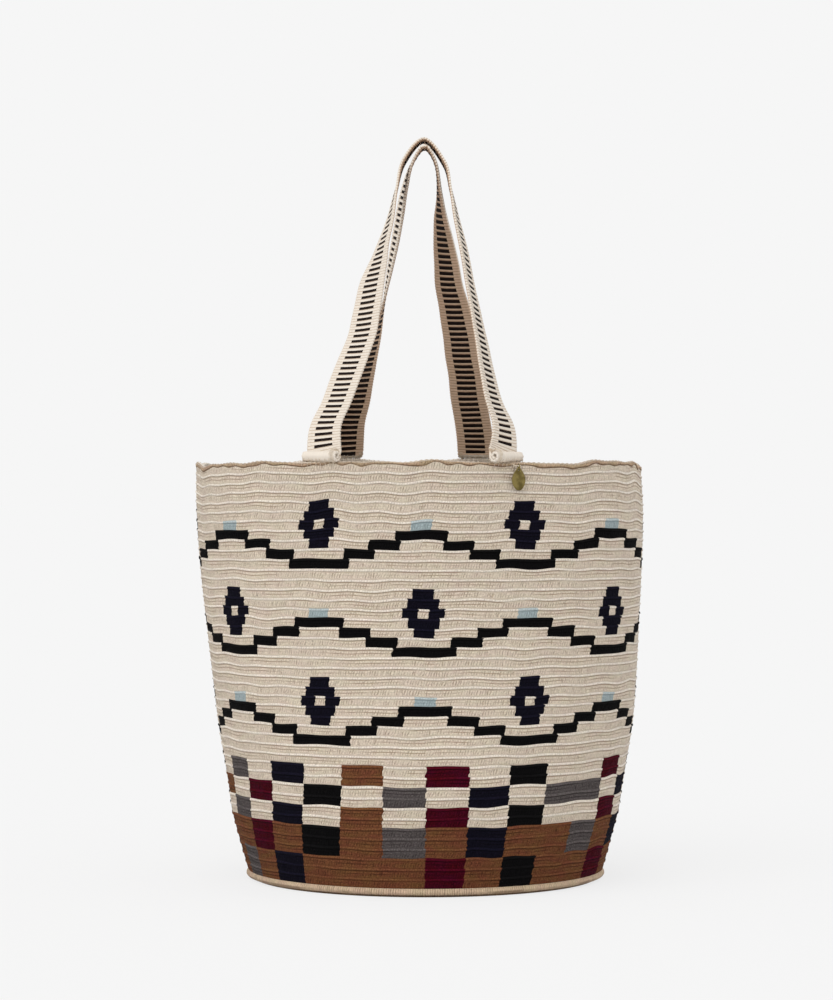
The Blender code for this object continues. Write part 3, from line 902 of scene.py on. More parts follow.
    def wall_piece(
        self, name: str, first: int, last: int, materials: list[bpy.types.Material]
    ) -> bpy.types.Object:
        """Build some rounds of the outside of the wall.

        Args:
            name: The piece's name.
            first: The first round, counted up from the foot.
            last: The round after the last one.
            materials: The yarns' materials.

        Returns:
            The piece.
        """
        wall = self.wall
        stitches = wall.columns * wall.stitches_per_column
        count = stitches * self.quarter
        edges = self.round_edges()
        slack = self.slack(count)
        pull = 1.0 + 0.10 * self.wobble(len(edges), 110, self.seed + 1, count)
        drift = np.clip(0.16 * self.wobble(1, 70, self.seed + 2, count)[0], -0.20, 0.22)
        quarter = np.arange(count) % self.quarter
        strand = np.where(quarter % 2 == 1, 1.0, -1.0)
        index = np.arange(count)
        points, places = [], []
        for level in range(first, last + 1):
            top = min(level + 1, len(edges) - 1)
            for number, ring in enumerate(self.rings if level < last else self.rings[:1]):
                share = ring.share
                if level == len(edges) - 2 and share > 0.5:
                    share = share + (drift - 0.09) * (1.0 - share) / 0.34
                source = np.random.default_rng((self.seed, level, number))
                inner = 0 < level + ring.share < len(edges) - 1
                ragged = source.normal(size=(2, count)) * inner
                column = index / self.quarter + ring.lean + 0.085 * ragged[0]
                column = self.warped(column / wall.stitches_per_column, edges[level])
                height = edges[level] * (1.0 - share) + edges[top] * share
                height = height + slack[level] * (1.0 - share) + slack[top] * share
                if level == len(edges) - 1:
                    height = height - self.rim_rounding
                out = ring.rise * pull[level] + ring.strand * strand
                out = out + self.swell(column, height) + 0.00005 * ragged[1]
                points.append(wall.points(column, height, out))
                places.append(level + ring.share)
        grid = np.stack(points)
        round_place = np.arange(count + 1) / self.quarter
        stitch_map = np.stack(np.meshgrid(round_place, np.array(places), indexing="xy"), -1)
        table = self.yarn_table()[first:last]
        finish = np.repeat(np.repeat(table, self.quarter, 1), len(self.rings), 0)
        # The top round's upper faces take the painted shade: a brown shadow line just under the rim's top
        # edge
        if last == len(edges) - 1:
            finish[-3:-1] = Yarn.RIM.value
        patch = Patch(grid, stitch_map, True, finish, 3)
        return patch_object(name, [patch], materials)

    def disc(self, height: float, facing: int, place: tuple, ring_list: np.ndarray) -> Patch:
        """Make one face of the base: rounds of crochet that grow from the middle.

        Args:
            height: The height of its flat.
            facing: 1 where it faces up, or -1 where it faces down.
            place: The part of the bake that it fills.
            ring_list: The outermost ring of points, which it ends on.

        Returns:
            The patch, with its faces turned the way that it faces.
        """
        count = len(ring_list)
        rounds = self.base_rounds
        rings = ((0.0, 0.0), (0.3, 0.0006), (0.55, 0.0007), (0.8, self.base_ridge))
        centre = np.array([ring_list[:, 0].mean(), ring_list[:, 1].mean()])
        reach = ring_list[:, :2] - centre
        points, stitches = [], []
        for number in range(rounds):
            for share, rise in rings:
                grown = (number + share) / rounds
                flat = centre + reach * grown
                level = height + (rise if facing > 0 else self.base_ridge - rise)
                points.append(np.column_stack([flat, np.full(count, level)]))
                around = np.arange(count + 1) / count * max(6.0, self.base_stitches * (number + 1))
                stitches.append(np.column_stack([around, np.full(count + 1, number + share)]))
        points.append(ring_list)
        around = np.arange(count + 1) / count * self.base_stitches * rounds
        stitches.append(np.column_stack([around, np.full(count + 1, float(rounds))]))
        grid, maps = np.stack(points), np.stack(stitches)
        if facing > 0:
            grid, maps = grid[::-1], maps[::-1]
        finish = np.full((len(grid) - 1, count), Yarn.CREAM.value)
        return Patch(grid, maps, True, finish, 1, place)

    def foot_piece(self, materials: list[bpy.types.Material]) -> bpy.types.Object:
        """Build the raised edging round the foot and the underside of the base.

        Args:
            materials: The yarns' materials.

        Returns:
            The piece.
        """
        wall = self.wall
        count = self.foot_points
        column = np.arange(count) / count * wall.columns
        under = wall.points(column, 0.0, -wall.thickness)
        rope = np.where(np.arange(count) % 2 == 1, 1.0, 0.0)
        shares = (0.17, 0.18, 0.22, 0.33, 0.50, 0.69, 0.85, 0.95, 1.0)
        bulges = (-2.10, -0.80, 0.05, 0.70, 1.0, 0.86, 0.52, 0.20, 0.0)
        edging = [under]
        for share, bulge in zip(shares, bulges):
            out = self.edging_bulge * bulge - self.rope_depth * (1.0 - rope) * (share < 1.0)
            edging.append(wall.points(column, self.edging_height * share, out))
        grid = np.stack(edging)
        rows = np.linspace(0.10, 0.60, len(grid))
        stitch_map = np.stack(
            np.meshgrid(np.arange(count + 1) / count * self.foot_stitches, rows, indexing="xy"), -1
        )
        finish = np.full((len(grid) - 1, count), Yarn.FOOT.value)
        # The lowest rows of the edging, where the bag stands on the floor, are painted darker as contact
        # shade, like the shade line under the rim
        finish[:4] = Yarn.RIM.value
        edge = Patch(grid, stitch_map, True, finish, 4, (0.0, 0.0, 1.0, 0.32))
        base = self.disc(0.0, -1, (0.0, 0.34, 1.0, 1.0), under[::4])
        return patch_object("crochet_foot", [edge, base], materials)

    def inside_piece(self, materials: list[bpy.types.Material]) -> bpy.types.Object:
        """Build the rim, the inside of the wall and the inner floor.

        Args:
            materials: The yarns' materials.

        Returns:
            The piece.
        """
        wall = self.wall
        stitches = wall.columns * wall.stitches_per_column
        edges = self.round_edges()
        table = self.yarn_table()

        # The rim: the chain of the last round, rolled over the top edge, at full fineness
        fine = stitches * self.quarter
        index = np.arange(fine)
        quarter = index % self.quarter
        loop = np.cos(2.0 * np.pi * (quarter / self.quarter - 0.5))
        column = index / self.quarter / wall.stitches_per_column
        top = wall.rim_height
        steps = (
            (top - self.rim_rounding, 0.0, 0.0),
            (top - 0.0006, 0.0004, 0.00015),
            (top + 0.0001, -0.0004, 0.00025),
            (top + 0.0003, -0.0014, 0.00030),
            (top - 0.0002, -0.0022, 0.00010),
            (top + 0.0001, -0.0030, 0.00025),
            (top - 0.0006, -0.0038, 0.00020),
            (top - self.rim_lap, -wall.thickness, 0.0),
        )
        rim = []
        for height, out, bump in steps:
            swell = self.swell(column, np.full(fine, top - self.rim_rounding))
            lift = bump * loop if bump else 0.0
            rim.append(wall.points(column, height + lift, out + swell))
        grid = np.stack(rim)
        rows = np.array((0.02, 0.60, 0.70, 0.78, 0.82, 0.88, 0.94, 1.0))
        place = np.arange(fine + 1) / self.quarter
        stitch_map = np.stack(np.meshgrid(place, rows, indexing="xy"), -1)
        finish = np.full((len(grid) - 1, fine), Yarn.CREAM.value)
        rim_patch = Patch(grid, stitch_map, True, finish, 3, (0.0, 0.0, 1.0, 0.12))

        # The inside of the wall, in the same rounds, flatter than the outside
        half = stitches * 2
        index = np.arange(half)
        column = index / 2.0 / wall.stitches_per_column
        points, places, colours = [], [], []
        lowest = wall.floor_thickness + wall.floor_corner
        for level in range(len(edges) - 2, -1, -1):
            low, high = edges[level], edges[level + 1]
            if high <= lowest:
                break
            for share, rise in ((1.0, 0.0), (0.55, 0.0006)):
                height = low + (high - low) * share
                at_rim = level == len(edges) - 2 and share == 1.0
                if at_rim:
                    height = top - self.rim_lap
                if height <= lowest:
                    continue
                # The topmost ring meets the rim's last one, and so it swells as the rim does
                swelled = np.full(half, top - self.rim_rounding if at_rim else height)
                out = self.swell(column, swelled) - wall.thickness - rise
                points.append(wall.points(column, height, out))
                places.append(level + share)
                colours.append(np.repeat(table[level], 2))
        for height, out in (
            (lowest, 0.0),
            (wall.floor_thickness + 0.0050, 0.0013),
            (wall.floor_thickness + 0.0018, 0.0042),
            (wall.floor_thickness, 0.0100),
        ):
            points.append(wall.points(column, height, -wall.thickness - out))
            places.append(places[-1] - 0.3)
            colours.append(np.repeat(table[0], 2))
        grid = np.stack(points)
        place = np.arange(half + 1) / 2.0
        stitch_map = np.stack(np.meshgrid(place, np.array(places), indexing="xy"), -1)
        finish = np.stack(colours[:-1])
        inner = Patch(grid, stitch_map, True, finish, 3, (0.0, 0.13, 1.0, 0.72))
        floor = self.disc(wall.floor_thickness, 1, (0.0, 0.73, 1.0, 1.0), points[-1][::2])
        return patch_object("crochet_inside", [rim_patch, inner, floor], materials)

    def build(self) -> list[bpy.types.Object]:
        """Build every piece of the body.

        Returns:
            The pieces, which together stand for the bag's node.
        """
        materials = [YARNS[yarn].material() for yarn in Yarn]
        band = sum(self.band_row_rounds)
        middle = band + (self.cream_rounds + 1) // 2
        pieces = [
            self.wall_piece("crochet_check_band", 0, band, materials),
            self.wall_piece("crochet_wall_lower", band, middle, materials),
            self.wall_piece("crochet_wall_upper", middle, band + self.cream_rounds, materials),
            self.foot_piece(materials),
            self.inside_piece(materials),
        ]
        for piece in pieces:
            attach(piece, "bag")
            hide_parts("bag_body")
        return pieces


@dataclass(frozen=True)
class Station:
    """One listed point of a strap: shares of its rise and spread, and its width's turn."""

    rise: float
    across: float
    turn: float


@dataclass(frozen=True)
class StrapLayout:
    """Where a strap runs: its ends on the rim, its stations, and its side of the bag."""

    name: str
    side: int
    end_columns: tuple
    end_turns: tuple
    crown_depth: float
    crown: Station
    rising: tuple
    falling: tuple


FRONT_STRAP = StrapLayout(
    name="front_strap",
    side=-1,
    end_columns=(-2.42, 2.15),
    end_turns=(34.0, 131.0),
    crown_depth=0.006,
    crown=Station(1.0000, 0.050, 90.0),
    rising=(
        Station(0.1027, -0.805, 39.0),
        Station(0.1849, -0.709, 42.0),
        Station(0.2774, -0.609, 41.0),
        Station(0.3699, -0.511, 45.0),
        Station(0.4623, -0.452, 49.0),
        Station(0.5548, -0.407, 54.0),
        Station(0.6507, -0.332, 72.0),
        Station(0.7466, -0.256, 81.0),
        Station(0.8425, -0.202, 88.0),
        Station(0.9315, -0.132, 92.0),
    ),
    falling=(
        Station(0.9247, 0.234, 89.0),
        Station(0.8390, 0.294, 92.0),
        Station(0.7432, 0.345, 97.0),
        Station(0.6473, 0.405, 100.0),
        Station(0.5548, 0.448, 101.0),
        Station(0.4623, 0.499, 103.0),
        Station(0.3699, 0.547, 106.0),
        Station(0.2774, 0.594, 109.0),
        Station(0.1849, 0.652, 113.0),
        Station(0.1027, 0.735, 121.0),
    ),
)

BACK_STRAP = StrapLayout(
    name="back_strap",
    side=1,
    end_columns=(17.00, 13.43),
    end_turns=(22.0, 166.0),
    crown_depth=-0.006,
    crown=Station(0.9743, 0.056, 90.0),
    rising=(
        Station(0.1301, -0.655, 32.0),
        Station(0.2123, -0.580, 46.0),
        Station(0.3048, -0.496, 62.0),
        Station(0.3973, -0.411, 76.0),
        Station(0.4897, -0.338, 88.0),
        Station(0.5822, -0.280, 95.0),
        Station(0.6712, -0.228, 99.0),
        Station(0.7603, -0.177, 100.0),
        Station(0.8493, -0.128, 98.0),
        Station(0.9281, -0.058, 93.0),
    ),
    falling=(
        Station(0.9247, 0.160, 89.0),
        Station(0.8322, 0.193, 95.0),
        Station(0.7534, 0.210, 108.0),
        Station(0.6678, 0.241, 121.0),
        Station(0.5822, 0.277, 131.0),
        Station(0.4897, 0.332, 142.0),
        Station(0.3973, 0.388, 150.0),
        Station(0.3048, 0.430, 155.0),
        Station(0.2123, 0.470, 160.0),
        Station(0.1301, 0.516, 164.0),
    ),
)


class StrapZone(Enum):
    """The cottons of a strap, numbered as its material slots."""

    OUTER = 0
    LADDER = 1
    # The inner face, painted darker as shade
    INNER = 2


@dataclass
class WovenStrap:
    """A woven band over the shoulder: plain margins, a ladder of dark bars and rolled ends."""

    wall: BagWall
    layout: StrapLayout
    rise: float = 0.292
    spread: float = 0.100
    width: float = 0.035
    thickness: float = 0.0022
    ladder_width: float = 0.019
    roll_radius: float = 0.0047
    roll_pitch: float = 0.0025
    roll_turns: float = 1.3
    seat_gap: float = 0.0003
    bar_pitch: float = 0.0056
    steps: tuple = (0.0, 0.12, 0.24, 0.36, 0.48, 0.63, 0.76, 0.88)
    bar_relief: tuple = (0.0, 0.16, 0.24, 0.16, 0.0, -0.08, -0.10, -0.08)
    rib_relief: tuple = (-0.12, 0.05, 0.12, 0.05, -0.12, 0.04, 0.10, 0.04)
    bar_bow: float = 0.0007
    cup: float = 0.0006
    levelling: float = 0.75
    hidden: float = 0.0040
    foot_bars: float = 0.0055
    scallop: float = 5.0

    def width_direction(self, turn: np.ndarray) -> np.ndarray:
        """The level direction across the strap's width at each turn."""
        angle = np.radians(turn)
        return np.stack([np.cos(angle), self.layout.side * np.sin(angle), np.zeros_like(angle)], -1)

    def roll_frame(self, end: int) -> tuple[np.ndarray, np.ndarray, np.ndarray]:
        """Find a rolled end's middle and directions.

        Args:
            end: 0 for the end where the strap rises and 1 for the other.

        Returns:
            The roll's centre, its direction across the strap and its direction outwards.
        """
        turn = self.layout.end_turns[end]
        across = self.width_direction(np.array(turn))
        up = np.array((0.0, 0.0, 1.0 if end == 0 else -1.0))
        outward = self.layout.side * np.cross(up, across)
        seat = self.wall.points(
            self.layout.end_columns[end], self.wall.rim_height, -self.wall.thickness / 2
        )
        lowest = self.roll_radius - self.roll_pitch / 4 + self.thickness / 2
        return seat + np.array((0.0, 0.0, lowest + self.seat_gap)), across, outward

    def roll_path(self, end: int) -> np.ndarray:
        """The middle line of a rolled end, from the middle of the roll to where it ends.

        Args:
            end: 0 for the end where the strap rises and 1 for the other.

        Returns:
            Rows of three coordinates and the turn.
        """
        centre, _, outward = self.roll_frame(end)
        wound = self.roll_turns * np.linspace(1.0, 0.0, 70)
        angle = np.pi + 2.0 * np.pi * wound
        radius = self.roll_radius - self.roll_pitch * wound
        reach = outward[None] * np.cos(angle)[:, None]
        reach = reach + np.array((0.0, 0.0, 1.0))[None] * np.sin(angle)[:, None]
        turns = np.full((len(wound), 1), self.layout.end_turns[end])
        return np.hstack([centre + reach * radius[:, None], turns])

    def run_path(self, start: np.ndarray, end: np.ndarray) -> np.ndarray:
        """The middle line between the two rolled ends, over the crown.

        Args:
            start: The row where the strap leaves its first roll.
            end: The row where it meets its second roll.

        Returns:
            Rows of three coordinates and the turn.
        """
        layout = self.layout
        rim = self.wall.rim_height
        crown_height = rim + self.rise * layout.crown.rise
        keys = [start]
        for station in (*layout.rising, layout.crown, *layout.falling):
            rises = station in layout.rising or station == layout.crown
            foot = start if rises else end
            height = rim + self.rise * station.rise
            share = (height - foot[2]) / (crown_height - foot[2])
            depth = foot[1] + (layout.crown_depth - foot[1]) * share
            keys.append(np.array((self.spread * station.across, depth, height, station.turn)))
        keys.append(end)
        made = []
        last = len(keys) - 1
        for index in range(last):
            rows = [keys[min(last, max(0, index + step))] for step in (-1, 0, 1, 2)]
            made += [catmull_rom(rows, share) for share in np.arange(24) / 24.0]
        return np.array(made[1:])

    def path(self) -> tuple[np.ndarray, np.ndarray, float, float]:
        """Lay out the whole middle line in the steps of the bars and ribs.

        Returns:
            Rows of three coordinates and the turn, the length at each row, and the lengths
            where the run between the two rolls starts and ends.
        """
        left, right = self.roll_path(0), self.roll_path(1)
        run = self.run_path(left[-1], right[-1])
        rows = np.vstack([left, run, right[::-1]])
        steps = np.linalg.norm(np.diff(rows[:, :3], axis=0), axis=1)
        length = np.concatenate([[0.0], np.cumsum(steps)])
        bars = int(length[-1] / self.bar_pitch)
        phase = np.arange(bars)[:, None] + np.array(self.steps)[None, :]
        even = np.append(phase.ravel(), bars) / bars * length[-1]
        made = np.stack([np.interp(even, length, rows[:, axis]) for axis in range(4)], 1)
        return made, even, length[len(left) - 1], length[len(left) + len(run)]

    def section(self) -> tuple[np.ndarray, np.ndarray]:
        """The outline of the band's cross-section, once round, with its thin rounded edges.

        Returns:
            Places across and through the band, in metres.
        """
        half, thick = self.width / 2, self.thickness / 2
        ladder = self.ladder_width / 2
        flat = np.concatenate(
            [
                np.linspace(-half + 0.0009, -ladder, 7)[:-1],
                np.linspace(-ladder, ladder, 11)[:-1],
                np.linspace(ladder, half - 0.0009, 7),
            ]
        )
        turn = np.radians(np.array((60.0, 25.0, -25.0, -60.0)))
        edge = half - 0.0009 + 0.0009 * np.cos(turn)
        across = np.concatenate([flat, edge, flat[::-1], -edge])
        through = np.concatenate(
            [
                np.full(len(flat), thick),
                thick * np.sin(turn),
                np.full(len(flat), -thick),
                -thick * np.sin(turn),
            ]
        )
        return across, through

    def build(self, materials: list[bpy.types.Material]) -> bpy.types.Object:
        """Build the strap as one closed band.

        Args:
            materials: The outer cotton, the ladder's cotton and the inner face's cotton, painted darker
                and warmer as shade.

        Returns:
            The piece.
        """
        rows, length, run_start, run_end = self.path()
        place, turn = rows[:, :3], rows[:, 3]
        along = np.gradient(place, axis=0)
        along /= np.linalg.norm(along, axis=1)[:, None]
        across = self.width_direction(turn)
        across -= along * (across * along).sum(1)[:, None]
        across /= np.linalg.norm(across, axis=1)[:, None]
        outward = self.layout.side * np.cross(along, across)
        wide, through = self.section()
        step = np.arange(len(rows)) % len(self.steps)
        in_ladder = np.abs(wide) < self.ladder_width / 2 + 1e-6
        # Only whole bars are woven in, on the inner face down to where the roll turns under
        bar_start = length[np.arange(len(rows)) // len(self.steps) * len(self.steps)]
        bar_end = bar_start + self.bar_pitch
        on_run = (bar_start > run_start + self.hidden) & (bar_end < run_end - self.hidden)
        inside = (bar_start > run_start - self.foot_bars) & (bar_end < run_end + self.foot_bars)
        bars = np.array(self.bar_relief)[step][:, None] * 0.001
        ribs = np.array(self.rib_relief)[step][:, None] * 0.001
        barred = np.where(through < 0.0, inside[:, None], on_run[:, None]) & in_ladder[None, :]
        lift = np.sign(through)[None, :] * np.where(barred, bars, ribs)

        # The band cups a little and its bars bow down, both only on the run between the rolls
        run_share = np.clip((length - run_start) / (run_end - run_start), 0.0, 1.0)
        fade = np.sin(np.pi * run_share)[:, None] ** 0.5
        middle = 1.0 - (wide[None, :] / (self.width / 2)) ** 2
        bow = -self.bar_bow * np.cos(np.pi * run_share)[:, None] * fade * middle
        cupped = -self.cup * fade * middle
        flutter = 0.0005 * fade[:, 0] * (np.sin(length * 95.0) + 0.6 * np.sin(length * 171.0 + 1.0))
        scallop = np.where(np.abs(wide) > self.width / 2 - 0.001, ribs * self.scallop, 0.0)
        edge = 1.0 + scallop / self.width

        # Hand work hangs skew: the bars lie nearer to level than square to the edges
        rest = np.clip(np.minimum(run_share, 1.0 - run_share) / 0.02, 0.0, 1.0)
        skew = -self.levelling * rest * across[:, 2] * along[:, 2] / (along[:, 2] ** 2 + 0.12)
        bow = bow + skew[:, None] * wide[None, :]
        grid = (
            place[:, None]
            + across[:, None] * (wide[None, :] * edge + flutter[:, None])[:, :, None]
            + outward[:, None] * (through[None, :] + lift + cupped)[:, :, None]
            + along[:, None] * bow[:, :, None]
        )
        beside_wide = np.diff(np.append(wide, wide[0]))
        beside_through = np.diff(np.append(through, through[0]))
        rounded = np.concatenate([[0.0], np.cumsum(np.hypot(beside_wide, beside_through))])
        # On the rolls the map stands still between two ribs, so that they stay plain
        per_rib = len(self.steps) / 2
        on_band = np.flatnonzero(inside)
        first_rib = np.floor(on_band[0] / per_rib) + 0.5
        last_rib = np.floor(on_band[-1] / per_rib) + 0.5
        ribs_along = np.clip(np.arange(len(rows)) / per_rib, first_rib, last_rib)
        stitch_map = np.stack(np.meshgrid(rounded * 1000.0, ribs_along, indexing="xy"), -1)

        # One face number for each kind of cotton: outside, ladder and inside, the inside painted darker
        # as shade
        inner_face = (through < 0.0) & (np.roll(through, -1) < 0.0)
        run_rows = np.where(
            inner_face, (inside[:-1] & inside[1:])[:, None], (on_run[:-1] & on_run[1:])[:, None]
        )
        inner_shade = run_rows & inner_face[None, :]
        finish = np.where(inner_shade, StrapZone.INNER.value, StrapZone.OUTER.value)
        bar_steps = len(self.steps) // 2 + inner_face.astype(int)
        dark = run_rows & (step[:-1, None] < bar_steps[None, :])
        dark = dark & (np.roll(in_ladder, -1) & in_ladder)[None, :]
        finish = np.where(dark, StrapZone.LADDER.value, finish)
        if self.layout.side > 0:
            grid = np.roll(grid[:, ::-1], 1, axis=1)
            stitch_map = stitch_map[:, ::-1]
            finish = finish[:, ::-1]
        patch = Patch(grid, stitch_map, True, finish, 1)
        piece = patch_object(f"woven_{self.layout.name}", [patch], materials, caps=1)
        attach(piece, "bag")
        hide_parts(self.layout.name)
        LOG.info("%s: %.3f m of band", self.layout.name, length[-1])
        return piece


@dataclass
class EndSewing:
    """The threads that sew each rolled end on the rim: a row of slanting whip stitches."""

    wall: BagWall
    strap: WovenStrap
    stitches: int = 8
    row_width: float = 0.031
    radius: float = 0.00028
    bound_turns: float = 2.6
    below_rim: float = 0.0036
    slant: float = 0.0016
    lowest_turn: float = -68.0
    highest_turn: float = -22.0

    def stitch_path(self, end: int, side: float, along: float, tilt: float) -> np.ndarray:
        """Lay out one stitch, from the wall below the rim up round the outside of the roll.

        Args:
            end: 0 for the end where the strap rises and 1 for the other.
            side: 1 for the outside of the bag, or -1 for the inside.
            along: How far the stitch is from the middle of the roll.
            tilt: How much it slants, in metres.

        Returns:
            The points of its middle line.
        """
        wall, strap = self.wall, self.strap
        centre, across, outward = strap.roll_frame(end)
        column = strap.layout.end_columns[end]
        ahead = wall.points(column + 0.05, wall.rim_height) - wall.points(column, wall.rim_height)
        turn = float(across @ ahead) / float(ahead @ ahead) * 0.05
        place = column + (along - tilt / 2) * turn
        facing = 1.0 if float(outward @ wall.outward(column, wall.rim_height)) > 0 else -1.0
        facing *= side
        lie = (0.0009, 0.0012) if side > 0 else (-wall.thickness - 0.0005, -wall.thickness - 0.0008)
        path = [
            wall.points(place, wall.rim_height - self.below_rim, lie[0] - 0.0012 * side),
            wall.points(place, wall.rim_height - self.below_rim * 0.8, lie[0] + 0.0003 * side),
            wall.points(place, wall.rim_height - self.below_rim * 0.35, lie[1] + 0.0003 * side),
        ]
        reach = strap.roll_radius + strap.thickness / 2 + self.radius * 0.7
        turns = np.radians(np.linspace(self.lowest_turn, self.highest_turn, 8))
        up = np.array((0.0, 0.0, 1.0))
        for step, angle in enumerate(turns):
            out = reach - 0.0011 * (step == len(turns) - 1)
            spot = centre + across * (along + tilt * (step / 7.0 - 0.5))
            path.append(spot + (outward * facing * np.cos(angle) + up * np.sin(angle)) * out)
        return np.array(path)

    def binding_path(self, end: int) -> np.ndarray:
        """Lay out the thread that is wound round the roll's end nearest the middle of the bag.

        Args:
            end: 0 for the end where the strap rises and 1 for the other.

        Returns:
            The points of its middle line.
        """
        strap = self.strap
        centre, across, outward = strap.roll_frame(end)
        inner = -1.0 if across[0] * centre[0] > 0 else 1.0
        share = np.linspace(0.0, 1.0, 72)
        angle = 2.0 * np.pi * self.bound_turns * share
        reach = strap.roll_radius + strap.thickness / 2 + self.radius * 0.6
        reach = reach - 0.0012 * (np.abs(share - 0.5) > 0.49)
        along = inner * (self.row_width / 2 - 0.0030 + 0.0036 * share)
        up = np.array((0.0, 0.0, 1.0))
        ring = outward * np.cos(angle)[:, None] + up * np.sin(angle)[:, None]
        return centre + across * along[:, None] + ring * reach[:, None]

    def build(self, material: bpy.types.Material) -> bpy.types.Object:
        """Build the stitches at both ends of the strap, outside and inside.

        Args:
            material: The sewing thread's material.

        Returns:
            The piece, which lies on the strap's rolled ends.
        """
        source = np.random.default_rng(5 + self.strap.layout.side)
        paths = []
        for end in (0, 1):
            for side in (1.0, -1.0):
                for along in np.linspace(-0.5, 0.5, self.stitches) * self.row_width:
                    moved = along + source.normal() * 0.0004
                    tilt = self.slant * (1.0 + 0.4 * source.normal())
                    paths.append(self.stitch_path(end, side, moved, tilt))
            paths.append(self.binding_path(end))
        name = f"sewing_{self.strap.layout.name}"
        piece = patch_object(name, tubes(paths, self.radius, 8), [material], caps=1)
        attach(piece, "bag")
        return piece


